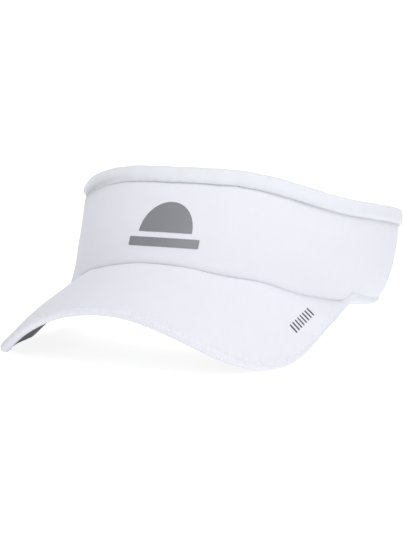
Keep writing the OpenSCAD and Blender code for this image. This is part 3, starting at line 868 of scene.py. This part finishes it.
def roll_rings(crown, a, power=0.78, k=28):
    """Rings of the padded roll at the angles a: a plump folded edge, creased along its seam and softly
    puckered. Also gives its cloth coordinates and how much painted shade darkens each point."""
    plies = crown.plies
    q = superellipse(k, power)[None]
    side, up = q[..., 0], q[..., 1]
    a = a[:, None]
    s = crown.along(a)
    far, near = far_turn(a), near_turn(a)
    outer = np.clip(side, 0, 1)
    seam = hill(up, -0.95, 0.35)
    girth = np.arctan2(up, side) * 4 * MM
    pucker = 0.16 * MM * ripple(s, girth, 6.5 * MM, 21, 3.0) * (0.35 + seam)
    drag = 0.22 * MM * ripple(s, girth, 19 * MM, 22, 1.2)
    undercut = -2.3 * MM * far * smooth((0.2 - up) / 0.7)
    ridge = far * MM * (0.5 * hill(up, 0.22, 0.16) - 0.35 * hill(up, 0.6, 0.2) - 0.5)
    lip = near * MM * (0.25 * hill(up, -0.6, 0.18) - 0.5 * hill(up, -0.25, 0.2))
    at_join = hill(a, 67 * DEG, 5 * DEG) * seam
    gather = 0.5 * MM * at_join * ripple(s, girth, 3.2 * MM, 23, 4.0)
    tuck = -1.1 * MM * seam
    swell = pucker + drag + outer * (undercut + ridge + lip + gather + tuck)
    half_thick = (plies.roll_out - plies.roll_in) / 2
    half_tall = plies.roll_height / 2
    t = (plies.roll_out + plies.roll_in) / 2 + side * (half_thick + swell)
    fuller = plies.fuller * hill(a, -50 * DEG, 22 * DEG) * smooth((up + 1) / 2)
    z = crown.top(a) - half_tall + up * (half_tall + 0.4 * (pucker + drag)) + fuller
    uv = np.stack([s + 0 * z, girth + 0 * z], -1)
    # Painted shade: dark in the crease along the roll's seam and, beyond the right brow, over its lower half
    dark = 0.8 * hill(up, -0.98, 0.11) + 0.85 * far * smooth((0.05 - up) / 0.5)
    fold = outer * np.clip(dark, 0, 1) + 0 * z
    return crown.at(a, z, t), uv, fold


class VISOR_OT_top_roll(bpy.types.Operator):
    """Builds the padded roll round the top edge"""

    bl_idname = "visor.top_roll"
    bl_label = "Padded Roll"

    def execute(self, context):
        crown, finish = setting()
        rings, uv, fold = roll_rings(crown, np.linspace(-SPLIT, SPLIT, 130 * DENSE))
        front = tube_object("forehead_roll", rings, uv)
        set_painted_shade(front, np.append(fold.ravel(), [0, 0]))
        finish_piece(front, finish["roll"], ["front_top_binding"], "crown")
        for side, word in SIDES:
            a = side * np.linspace(SPLIT, crown.rear_to - 0.001, 80 * DENSE)
            rings, uv, fold = roll_rings(crown, a)
            roll = tube_object(f"{word}_roll", rings, uv)
            set_painted_shade(roll, np.append(fold.ravel(), [0, 0]))
            finish_piece(roll, finish["roll"], [f"{word}_top_binding"],
                         across=temple_blend(crown, side))
        return {"FINISHED"}


class VISOR_OT_hem(bpy.types.Operator):
    """Builds the binding that runs off the brim's edge and round the hem to the back"""

    bl_idname = "visor.hem"
    bl_label = "Hem Binding"

    def execute(self, context):
        crown, finish = setting()
        brim, plies, size = Brim(crown), crown.plies, crown.brim
        deep = size.cover + size.board / 2
        # x runs from -0.3 on the brim's edge, past 0 at the brim's end, to 1 at the band's end
        x = np.linspace(-0.30, 1, 110 * DENSE)
        q = superellipse(20, 0.72)[None]
        for side, word in SIDES:
            on_brim = smooth((0.05 - x) / 0.16)[:, None, None]
            u = side * np.clip(1 + 0.45 * np.minimum(x, 0), 0.8, 0.995)
            wide = size.edge / 2 + 1.3 * MM * hill(x, -0.08, 0.10)
            edge = brim.on(brim.on(brim.outline(u)) + (wide - 0.3 * MM)[:, None] * brim.inwards(u))
            edge = edge - deep * brim.up(edge)
            out, up = -brim.inwards(u), brim.up(edge)
            start = crown.brim.end_angle - 0.015
            a = side * (start + np.maximum(x, 0) * (crown.rear_to - start))
            tall = plies.hem_height - crown.hem_lift(a)
            z = plies.hem_height - tall / 2
            tc = (plies.hem_out + plies.hem_in) / 2
            middle = crown.point(a, z, tc)
            normal = crown.point(a, z, tc + MM) - middle
            normal /= np.linalg.norm(normal, axis=-1, keepdims=True)
            s = crown.along(a) + side * np.minimum(x, 0) * 0.1
            wrinkle = 0.12 * MM * ripple(s[:, None], q[..., 1] * 3 * MM, 8 * MM, 31, 2.0)
            half = (plies.hem_out - plies.hem_in) / 2 + wrinkle[..., None]
            proud_of_foot = 2.3 * MM * hill(x, -0.03, 0.06)
            outwards = normal[:, None] * proud_of_foot[:, None, None]
            band_ring = (middle[:, None] + normal[:, None] * q[..., :1] * half + outwards
                         + np.array([0, 0, 1.0]) * q[..., 1:] * tall[:, None, None] / 2)
            proud = 0.35 * MM * smooth((x + 0.26) / 0.12)
            half_thick = (size.board / 2 + size.cover + 0.05 * MM + proud)[:, None, None]
            brim_ring = (edge[:, None] + out[:, None] * q[..., :1] * wide[:, None, None]
                         + up[:, None] * q[..., 1:] * half_thick + outwards)
            rings = crown.place(band_ring * (1 - on_brim) + brim_ring * on_brim)
            uv = np.stack([s[:, None] + 0 * q[..., 0], q[..., 1] * 5 * MM + 0 * s[:, None]], -1)
            hem = tube_object(f"{word}_hem", rings, uv)
            finish_piece(hem, finish["roll"], [f"{word}_temple_hem", f"{word}_hem_binding"],
                         across=temple_blend(crown, side))
        return {"FINISHED"}


# ---------------------------------------------------------------- brim


def brim_grid(brim, us, ws, t, inset, depth, bow=False):
    """Points of one ply of the brim, at the depth below its upper surface."""
    inner, outer = brim.inner(us, t)[:, None], brim.outer(us, inset)[:, None]
    w = ws[None, :, None]
    p = brim.on(inner * (1 - w) + outer * w, bow)
    return p - depth * brim.up(p)


def brim_face(brim, us, ws, radius, plump):
    """The upper cloth's outer face: out from the crown, round the edge and a little way back below."""
    size = brim.size
    top = brim_grid(brim, us, ws, brim.crown.plies.core_in, radius, 0, True)
    gap = np.linalg.norm(top - top[:, -1:], axis=-1, keepdims=True)
    top = top + 0.35 * MM * np.exp(-gap / (4 * MM)) * brim.up(top)
    top = top - plump[:, None] * hill(gap, 0, 14 * MM) * brim.up(top)
    edge = brim.outer(us, radius)
    edge = edge - plump * brim.up(edge)
    centre = edge - (size.board / 2 + size.cover + 0.2 * MM + plump) * brim.up(edge)
    out, up = -brim.inwards(us), brim.up(edge)
    angles = np.linspace(0, math.pi, 13)[1:]
    bend = out[:, None] * np.sin(angles)[None, :, None] + up[:, None] * np.cos(angles)[None, :, None]
    wrap = centre[:, None] + (radius + plump[:, None]) * bend
    under = 1.6 * MM * np.linspace(0, 1, 5)[1:]
    tail = brim.on(brim.outline(us))[:, None] + brim.inwards(us)[:, None] * (radius + under[None, :, None])
    tail = brim.on(tail)
    tail = tail - (2 * radius - 0.35 * MM + 2.6 * plump[:, None]) * brim.up(tail)
    return np.concatenate([top, wrap, tail], 1)


def cloth_lengths(line, face):
    """Lengths over a face: along the line from its middle, from the first column and to the last."""
    along = np.concatenate([[0], np.cumsum(np.linalg.norm(np.diff(line, axis=0), axis=1))])
    steps = np.linalg.norm(np.diff(face, axis=1), axis=2)
    run = np.concatenate([np.zeros((len(face), 1)), np.cumsum(steps, 1)], 1)
    return (along - along.mean())[:, None] + 0 * run, run, run[:, -1:] - run


def face_normals(face):
    """Unit normals of a grid of points, turned so that they point up at its first columns."""
    normal = np.cross(np.gradient(face, axis=0), np.gradient(face, axis=1))
    normal /= np.maximum(np.linalg.norm(normal, axis=-1, keepdims=True), 1e-12)
    return normal * np.sign(normal[:, :2, 2].mean())


def brim_painted_shade(us, run, from_edge):
    """How much painted shade darkens the brim's cloth: in the crease at the crown, at the right end beside
    it, where it turns under, and along the edge of the right lobe."""
    crease = 0.8 * hill(run, 0.9 * MM, 0.9 * MM)
    end_shade = smooth((-us - 0.72) / 0.12)[:, None] * hill(run, 0, 7 * MM)
    turned_under_shade = 0.6 * smooth((6 * MM - from_edge) / (5 * MM))
    lobe_shade = 0.35 * smooth((-us - 0.2) / 0.2)[:, None] * hill(from_edge, 0, 22 * MM)
    return np.clip(crease + end_shade + turned_under_shade + lobe_shade, 0, 1)


class VISOR_OT_brim(bpy.types.Operator):
    """Builds the brim: upper cloth with its rolled edge, board, dark under cloth"""

    bl_idname = "visor.brim"
    bl_label = "Brim"

    def execute(self, context):
        crown, finish = setting()
        brim, size, plies = Brim(crown), crown.brim, crown.plies
        radius = size.board / 2 + size.cover + 0.55 * MM
        ws = np.linspace(0, 1, 34 * DENSE)
        us = np.linspace(-0.985, 0.985, 200 * DENSE)
        plump = size.plump * hill(us, -0.36, 0.15)[:, None]
        face = brim_face(brim, us, ws, radius, plump)
        s, run, from_edge = cloth_lengths(brim.outline(us), face)
        uv = np.stack([s, -from_edge], -1)
        normal = face_normals(face)
        puckers = 0.06 * MM * ripple(s, run, 5 * MM, 42, 5.0) * hill(from_edge, 9 * MM, 7 * MM)
        soft = 0.10 * MM * ripple(s, run, 38 * MM, 41, 1.2) + puckers
        face = face + normal * soft[..., None]
        back = face - normal * size.cover
        cloth = sheet_object("brim_upper_cloth", crown.set_down(face), crown.set_down(back), uv)
        # Painted shade on the brim cloth: in its crease, at its right end, under its edge and over the right
        # lobe
        fold = brim_painted_shade(us, run, from_edge)
        set_painted_shade(cloth, np.concatenate([fold.ravel(), fold.ravel()]))
        finish_piece(cloth, finish["brim"], ["brim_top_cover", "brim_edge_binding"], "crown")

        us = np.linspace(-0.94, 0.94, 110 * DENSE)
        depth = 1.2 * size.cover
        top = brim_grid(brim, us, ws, plies.core_in, 1.5 * radius, depth)
        bottom = brim_grid(brim, us, ws, plies.core_in, 1.5 * radius, depth + size.board)
        board = sheet_object("stiffening_board", crown.set_down(top, 1.5), crown.set_down(bottom, 1.2),
                             top[..., :2].copy())
        finish_piece(board, finish["board"], ["brim_board"], "crown")

        depth = size.board + 2.5 * size.cover
        low = brim_grid(brim, us, ws, plies.core_in, radius, depth)
        high = brim_grid(brim, us, ws, plies.core_in, radius, depth - size.cover)
        # The twill's threads run at 45 degrees to the brim's middle line
        uv = np.stack([low[..., 0] + low[..., 1], low[..., 0] - low[..., 1]], -1) * 0.7071
        under_cloth = sheet_object("brim_under_cloth", crown.set_down(low, 0.2), crown.set_down(high, 0.8),
                                   uv)
        finish_piece(under_cloth, finish["underside"], ["brim_under_cover"], "crown")
        return {"FINISHED"}


# ---------------------------------------------------------------- prints


def film_on_band(crown, name, outline, aside, centre_z, lift, rings=14):
    """A thin film on the forehead panel; outline holds points (sideways, up) round a shape's centre."""
    k = len(outline)
    grow = np.linspace(0.04, 1, rings)[:, None, None]
    p = outline[None] * grow
    z = centre_z + p[..., 1]
    a = np.arcsin(np.clip((p[..., 0] + aside) / crown.side_radius(z, crown.plies.shell_out), -1, 1))
    base = outer_offset(crown, a, z, crown.plies.shell_out)
    face, back = crown.at(a, z, base + lift), crown.at(a, z, base + 0.02 * MM)
    verts = np.concatenate([face.reshape(-1, 3), back[-1]])
    faces = quads(rings, k, wrap=True).tolist() + [list(range(k))[::-1]]
    last = (rings - 1) * k
    faces += [[last + i, rings * k + i, rings * k + (i + 1) % k, last + (i + 1) % k] for i in range(k)]
    faces.append([rings * k + i for i in range(k)])
    uv = np.concatenate([p.reshape(-1, 2), outline])
    return face_outwards(new_object(name, verts, faces, uv))


def join(objects, name):
    """Joins mesh objects into one, under one name."""
    bpy.ops.object.select_all(action="DESELECT")
    for obj in objects:
        obj.select_set(True)
    bpy.context.view_layer.objects.active = objects[0]
    bpy.ops.object.join()
    objects[0].name = name
    objects[0].data.name = name
    return objects[0]


class VISOR_OT_prints(bpy.types.Operator):
    """Builds the emblem on the forehead and the row of small bars on the brim"""

    bl_idname = "visor.prints"
    bl_label = "Prints"

    def execute(self, context):
        crown, finish = setting()
        prints = context.scene.visor_prints
        width, height = prints.emblem_width, prints.emblem_height
        low, aside = prints.emblem_low, prints.emblem_aside
        bar_h, dome_low = height * 0.2, height * 0.32
        bar = rounded_box(width, bar_h, 0.5 * MM)
        half = np.linspace(0, math.pi, 64)
        dome_w, dome_h = width * 0.38, height - dome_low
        arc = np.stack([np.cos(half) * dome_w, np.sin(half) * dome_h], -1)
        dome = evenly(arc, 0.5 * MM) - np.array([0, dome_h * 0.4])
        parts = [film_on_band(crown, "emblem_bar", bar, aside, low + bar_h / 2, 0.16 * MM),
                 film_on_band(crown, "emblem_dome", dome, aside, low + dome_low + dome_h * 0.4, 0.16 * MM)]
        emblem = join(parts, "forehead_emblem")
        finish_piece(emblem, finish["film"], ["emblem"], "crown")

        brim = Brim(crown)
        x = brim.width - prints.bars_inwards
        first = brim.wide_y - prints.bars_forward - prints.bar_pitch * (prints.bars - 1) / 2
        bars = []
        for i in range(prints.bars):
            centre = np.array([x, first + prints.bar_pitch * i])
            shape = superellipse(28, 0.35) * np.array([prints.bar_length / 2, prints.bar_width / 2])
            shape[:, 1] += shape[:, 0] * 0.42
            face = np.stack([brim.on(centre + shape * grown) for grown in (0.1, 0.5, 0.8, 1.0)])
            normal = brim.up(face)
            k = len(shape)
            raised = face + normal * 0.17 * MM
            sunk = face[-1] - normal[-1] * 0.1 * MM
            verts = np.concatenate([raised.reshape(-1, 3), sunk])
            faces = quads(4, k, wrap=True).tolist() + [list(range(k))[::-1], [4 * k + j for j in range(k)]]
            faces += [[3 * k + j, 4 * k + j, 4 * k + (j + 1) % k, 3 * k + (j + 1) % k] for j in range(k)]
            bars.append(face_outwards(new_object(f"bar_{i}", crown.place(verts), faces, verts[:, :2].copy())))
        mark = join(bars, "brim_bars")
        finish_piece(mark, finish["ink"], ["brim_mark"], "crown")
        return {"FINISHED"}


# ---------------------------------------------------------------- closure


def rear_slab(crown, name, a0, a1, t0, t1, z0, z1, seed, corner=0.0, waves=0.08 * MM):
    """A strip round the back with rounded long edges; angles count from the back centre."""
    n = max(10, int(abs(a1 - a0) * crown.half_width / (0.9 * MM)))
    a = np.linspace(a0, a1, n)[:, None] + math.pi
    q = superellipse(40, 0.22)[None]
    share = np.minimum(np.arange(n), np.arange(n)[::-1])[:, None] / max(1, n - 1)
    from_end = share * abs(a1 - a0) * crown.half_width
    taper = 1 - corner * (1 - np.clip(from_end / (6 * MM), 0, 1)) ** 2
    s = (a - math.pi) * crown.half_width
    lift = waves * ripple(s, q[..., 1] * 10 * MM, 24 * MM, seed)
    z = (z0 + z1) / 2 + q[..., 1] * (z1 - z0) / 2 * taper
    t = (t0 + t1) / 2 + q[..., 0] * (t1 - t0) / 2 + lift
    uv = np.stack([s + 0 * z, z], -1)
    return tube_object(name, crown.at(a, z, t), uv)


def fold_blend(crown):
    """The bodies and the stretch over which the tab bends at its fold."""
    fold = np.array(JOINTS["tab_peel"]["pos_m"])
    a = math.pi - crown.strap.fold
    run = np.array([math.cos(a), math.sin(a), 0]) * 4 * MM
    return "left_band", "strap_tab", tuple(fold - run), tuple(fold + run)


class VISOR_OT_closure(bpy.types.Operator):
    """Builds both straps, the pull end, the hook and loop patches and the end bindings"""

    bl_idname = "visor.closure"
    bl_label = "Closure"

    def execute(self, context):
        crown, finish = setting()
        strap, band, plies = crown.strap, crown.band, crown.plies
        low, high = strap.low, strap.low + strap.height
        sewn = band.band_end + band.end_width + strap.sewn
        tab_end = strap.reach - strap.pull
        outer = rear_slab(crown, "outer_strap", -sewn, tab_end, strap.outer_in, strap.outer_out,
                          low, high, 51)
        finish_piece(outer, finish["webbing"], ["left_strap", "strap_tab"],
                     across=fold_blend(crown))
        inner = rear_slab(crown, "inner_strap", -strap.reach, sewn, strap.inner_in, strap.inner_out,
                          low, high, 52, 0.15)
        finish_piece(inner, finish["webbing"], ["right_strap"], "right_band")
        pull = rear_slab(crown, "pull_end_tape", tab_end, strap.reach,
                         strap.outer_in - 0.2 * MM, strap.outer_out + 0.5 * MM,
                         low + 0.4 * MM, high - 0.4 * MM, 53, 0.18)
        finish_piece(pull, finish["tape"], ["pull_end"], "strap_tab")
        patch_low, patch_high = low + strap.margin, high - strap.margin
        loops = rear_slab(crown, "loop_field", -strap.reach + 0.02, band.band_end - 0.05,
                          strap.inner_out - 0.1 * MM, strap.loop_out, patch_low, patch_high, 54, 0.05)
        finish_piece(loops, finish["loops"], ["loop_patch"], "right_band")
        hooks = rear_slab(crown, "hook_field", -strap.fold + 0.05, tab_end - 0.015,
                          strap.hook_in, strap.outer_in + 0.1 * MM, patch_low, patch_high, 55, 0.05, 0)
        finish_piece(hooks, finish["hooks"], ["hook_patch"], "strap_tab")
        for side, word in SIDES:
            n = 12
            a = side * np.linspace(crown.rear_to - 0.035, math.pi - band.band_end, n)[:, None]
            q = superellipse(44, 0.3)[None]
            foot, top = 1.2 * MM, crown.top(a) - 1.2 * MM
            swell = np.sqrt(np.clip(1 - np.linspace(-0.98, 0.98, n) ** 4, 0, 1))[:, None]
            z = (foot + top) / 2 + q[..., 1] * (top - foot) / 2
            t = (plies.hem_out + plies.hem_in) / 2 + q[..., 0] * (plies.hem_out - plies.hem_in) / 2 * swell
            uv = np.stack([crown.along(a) + 0 * z, z], -1)
            cap = tube_object(f"{word}_end_cap", crown.at(a, z, t), uv)
            finish_piece(cap, finish["tape"], [f"{word}_end_binding"], f"{word}_band")
        return {"FINISHED"}


class VISOR_OT_labels(bpy.types.Operator):
    """Builds the plain size label and care label inside"""

    bl_idname = "visor.labels"
    bl_label = "Labels"

    def execute(self, context):
        crown, finish = setting()
        plies = crown.plies
        face_t = plies.sweat_in - 0.15 * MM
        foot = float(crown.foot(np.array(0.0), plies.sweat_in))
        size = band_sheet(crown, "size_label_ribbon", -7 * DEG, 7 * DEG,
                          lambda a: foot + 6 * MM + 0 * a, lambda a: foot + 20 * MM + 0 * a,
                          face_t, face_t - 0.4 * MM, 1.5 * MM)
        finish_piece(size, finish["ribbon"], ["size_label"], "crown")
        hem = plies.hem_height
        care = band_sheet(crown, "care_label_ribbon", -118 * DEG, -130 * DEG,
                          lambda a: hem + 3 * MM + 0 * a, lambda a: hem + 22 * MM + 0 * a,
                          face_t, face_t - 0.4 * MM, 1.5 * MM)
        finish_piece(care, finish["ribbon"], ["care_label"], "right_band")
        return {"FINISHED"}


# ---------------------------------------------------------------- stitches


def stitch_row(name, path, normal, size, sink=0.35):
    """Rounded stitches laid along a path of points, each dipping into the cloth at its ends."""
    steps = np.linalg.norm(np.diff(path, axis=0), axis=1)
    run = np.concatenate([[0], np.cumsum(steps)])
    count = max(1, int(run[-1] / size.pitch))
    k, m = 8, 7
    verts, faces, uv = [], [], []
    ring = superellipse(k, 1.0)
    for i in range(count):
        middle = (i + 0.5) * run[-1] / count
        s = middle + np.linspace(-0.5, 0.5, m) * size.stitch
        p = np.stack([np.interp(s, run, path[:, c]) for c in range(3)], -1)
        n = np.stack([np.interp(s, run, normal[:, c]) for c in range(3)], -1)
        n /= np.linalg.norm(n, axis=-1, keepdims=True)
        tangent = p[-1] - p[0]
        tangent /= np.linalg.norm(tangent)
        side = np.cross(n, tangent)
        x = np.linspace(-1, 1, m)
        dip = -np.abs(x) ** 3 * size.thread * 1.2 - sink * size.thread
        fat = size.thread / 2 * (1 - 0.55 * np.abs(x) ** 4)
        centre = p + n * (dip + size.thread / 2)[:, None]
        rings = (centre[:, None] + side[:, None] * ring[None, :, :1] * fat[:, None, None]
                 + n[:, None] * ring[None, :, 1:] * fat[:, None, None])
        start = len(verts) * m * k
        verts.append(rings.reshape(-1, 3))
        faces += quads(m, k, start, wrap=True).tolist()
        faces += [[start + j for j in range(k)], [start + (m - 1) * k + j for j in range(k)][::-1]]
        uv.append(np.stack([np.repeat(s, k), np.tile(np.arange(k) * 0.1 * MM, m)], -1))
    return face_outwards(new_object(name, np.concatenate(verts), faces, np.concatenate(uv)))


def band_path(crown, a, z, t):
    """A path on the band with its outward normals, in the row frame."""
    p = crown.at(a, z, t)
    n = crown.at(a, z, np.asarray(t) + MM) - p
    return p, n / np.linalg.norm(n, axis=-1, keepdims=True)


def box_stitches(crown, name, a0, a1, z0, z1, t, size):
    """A rectangle of stitches that holds a strap; angles count from the back centre."""
    corners = ((a0, z0), (a1, z0), (a1, z1), (a0, z1))
    w = np.linspace(0, 1, 30)
    rows = []
    for i, (start, end) in enumerate(zip(corners, corners[1:] + corners[:1])):
        a = math.pi + start[0] + (end[0] - start[0]) * w
        z = start[1] + (end[1] - start[1]) * w
        path, normal = band_path(crown, a, z, t)
        rows.append(stitch_row(f"{name}_{i}", path, normal, size))
    return join(rows, name)


class VISOR_OT_stitches(bpy.types.Operator):
    """Sews the roll, the brim's edge and the straps"""

    bl_idname = "visor.stitches"
    bl_label = "Stitches"

    def execute(self, context):
        crown, finish = setting()
        strap, plies, band = crown.strap, crown.plies, crown.band
        a = np.radians(np.linspace(-64, 64, 300))
        z = crown.seam(a) - 0.05 * MM
        path, normal = band_path(crown, a, z, outer_offset(crown, a, z, plies.shell_out))
        row = stitch_row("roll_stitches", path, normal, strap, 0.6)
        finish_piece(row, finish["thread"], ["top_binding_stitches"], "crown")

        brim, size = Brim(crown), crown.brim
        us = np.linspace(-0.9, 0.9, 400)
        p = brim.outer(us, size.edge + 1.6 * MM)
        n = -brim.up(p)
        path = crown.place(p + n * (size.board + 1.25 * size.cover))
        normal = crown.place(p + n * MM) - crown.place(p)
        row = stitch_row("brim_stitches", path, normal / MM, strap)
        finish_piece(row, finish["thread"], ["brim_edge_stitches"], "crown")

        low, high = strap.low + strap.margin, strap.low + strap.height - strap.margin
        start = band.band_end + band.end_width + 1 * DEG
        end = start + strap.sewn - 2 * DEG
        left = box_stitches(crown, "outer_strap_stitches", -end, -start, low, high, strap.outer_out, strap)
        finish_piece(left, finish["thread"], ["left_strap_stitches"], "left_band")
        right = box_stitches(crown, "inner_strap_stitches", start, end, low, high,
                             plies.shell_out + 0.1 * MM, strap)
        finish_piece(right, finish["thread"], ["right_strap_stitches"], "right_band")
        tab = box_stitches(crown, "hook_stitches", -strap.fold + 3.5 * DEG,
                           strap.reach - strap.pull - 1.5 * DEG, low, high, strap.outer_out, strap)
        finish_piece(tab, finish["thread"], ["tab_stitches"], "strap_tab")
        return {"FINISHED"}


# ---------------------------------------------------------------- stage


# Name, place in metres and power in watts of each square softbox, 1 m wide
LAMPS = (
    ("side", (1.3, -0.7, 0.7), 5.4),
    ("front", (0.1, -1.5, 0.9), 4.5),
    ("top", (0.2, 0.1, 1.6), 11.6),
)


def add_floor(scene):
    """A 12 m floor of opal acrylic, lit from below: even and white, with a faint shadow under the brim."""
    material, tree, shader, _ = start_material("opal acrylic light table")
    place = add(tree, "ShaderNodeTexCoord").outputs["Object"]
    base = mottled(tree, place, linear(scene.visor_colours.floor), 0.98, 8.0)
    tree.links.new(base, shader.inputs["Base Color"])
    shader.inputs["Roughness"].default_value = 0.9
    shader.inputs["Specular IOR Level"].default_value = 0.1
    shader.inputs["Emission Color"].default_value = (1, 1, 1, 1)
    shader.inputs["Emission Strength"].default_value = 0.86
    bpy.ops.mesh.primitive_plane_add(size=12.0, location=(0, 0, 0))
    floor = bpy.context.object
    floor.name = "floor"
    floor.data.materials.append(material)


def add_sky(scene):
    """A plain studio surround, bright below the horizon so that the floor's far edge doesn't show."""
    world = scene.world or bpy.data.worlds.new("studio")
    scene.world = world
    world.use_nodes = True
    sky = world.node_tree
    place = add(sky, "ShaderNodeTexCoord").outputs["Generated"]
    height = add(sky, "ShaderNodeSeparateXYZ", None, _0=place).outputs["Z"]
    glow = add(sky, "ShaderNodeMapRange", {"clamp": True}, Value=height, From_Min=0.0, From_Max=0.04,
               To_Min=1.05, To_Max=0.43).outputs[0]
    sky.nodes["Background"].inputs["Color"].default_value = (1, 1, 1, 1)
    sky.links.new(glow, sky.nodes["Background"].inputs["Strength"])


def add_lamps(scene, target):
    """The three softboxes, each turned towards the target."""
    for name, spot, power in LAMPS:
        lamp = bpy.data.lights.new(name, "AREA")
        lamp.shape = "SQUARE"
        lamp.size = 1.0
        lamp.energy = power
        obj = bpy.data.objects.new(name, lamp)
        obj.location = spot
        obj.rotation_euler = (target - Vector(spot)).to_track_quat("-Z", "Y").to_euler()
        scene.collection.objects.link(obj)


def add_camera(scene, centre):
    """A long lens in front and to the wearer's left, a little above; roll turns the whole view."""
    camera = bpy.data.cameras.new("camera")
    camera.sensor_width = 36.0
    camera.lens = 112.9
    azimuth = math.radians(26.37)
    elevation = math.radians(10.26)
    roll = math.radians(-0.64)
    distance = 1.0077
    back = Vector((math.sin(azimuth) * math.cos(elevation), -math.cos(azimuth) * math.cos(elevation),
                   math.sin(elevation)))
    level = Vector((math.cos(azimuth), math.sin(azimuth), 0))
    right = level * math.cos(roll) + back.cross(level) * math.sin(roll)
    up = back.cross(right)
    spot = centre + back * distance
    aim = centre - right * 0.01886 + up * 0.01566
    away = (spot - aim).normalized()
    across = up.cross(away).normalized()
    turned = Matrix((across, away.cross(across), away)).transposed().to_4x4()
    obj = bpy.data.objects.new("camera", camera)
    obj.matrix_world = Matrix.Translation(spot) @ turned
    scene.collection.objects.link(obj)
    scene.camera = obj


class VISOR_OT_stage(bpy.types.Operator):
    """Builds the floor, the surround, the lights and the camera"""

    bl_idname = "visor.stage"
    bl_label = "Stage"

    def execute(self, context):
        scene = context.scene
        crown, _ = setting()
        centre = Vector(crown.centre)
        add_floor(scene)
        add_sky(scene)
        add_lamps(scene, centre + Vector((0, -0.03, 0.03)))
        add_camera(scene, centre)
        scene.view_settings.view_transform = "Standard"
        scene.view_settings.look = "None"
        return {"FINISHED"}


class VISOR_PT_panel(bpy.types.Panel):
    """Lists the visor's builders in the sidebar"""

    bl_idname = "VISOR_PT_panel"
    bl_label = "Sun Visor"
    bl_space_type = "VIEW_3D"
    bl_region_type = "UI"
    bl_category = "Visor"

    def draw(self, context):
        for step in STEPS:
            self.layout.operator(step.bl_idname)
        for name in GROUPS:
            box = self.layout.box()
            group = getattr(context.scene, name)
            for key in group.bl_rna.properties.keys():
                if key not in ("rna_type", "name"):
                    box.prop(group, key)


GROUPS = {"visor_band": VisorBand, "visor_plies": VisorPlies, "visor_brim": VisorBrim,
          "visor_strap": VisorStrap, "visor_prints": VisorPrints, "visor_colours": VisorColours}
STEPS = (VISOR_OT_crown_cloth, VISOR_OT_linings, VISOR_OT_top_roll, VISOR_OT_hem, VISOR_OT_brim,
         VISOR_OT_prints, VISOR_OT_closure, VISOR_OT_labels, VISOR_OT_stitches, VISOR_OT_stage)


def register():
    """Registers the property groups, the builders and the panel."""
    for name, group in GROUPS.items():
        bpy.utils.register_class(group)
        setattr(bpy.types.Scene, name, bpy.props.PointerProperty(type=group))
    for cls in (*STEPS, VISOR_PT_panel):
        bpy.utils.register_class(cls)


def unregister():
    """Takes everything back out, in the opposite order."""
    for cls in (VISOR_PT_panel, *reversed(STEPS)):
        bpy.utils.unregister_class(cls)
    for name, group in reversed(GROUPS.items()):
        delattr(bpy.types.Scene, name)
        bpy.utils.unregister_class(group)


def main():
    """Builds the whole visor and its stage."""
    register()
    for step in STEPS:
        category, operator = step.bl_idname.split(".")
        getattr(getattr(bpy.ops, category), operator)()


if __name__ == "__main__":
    main()
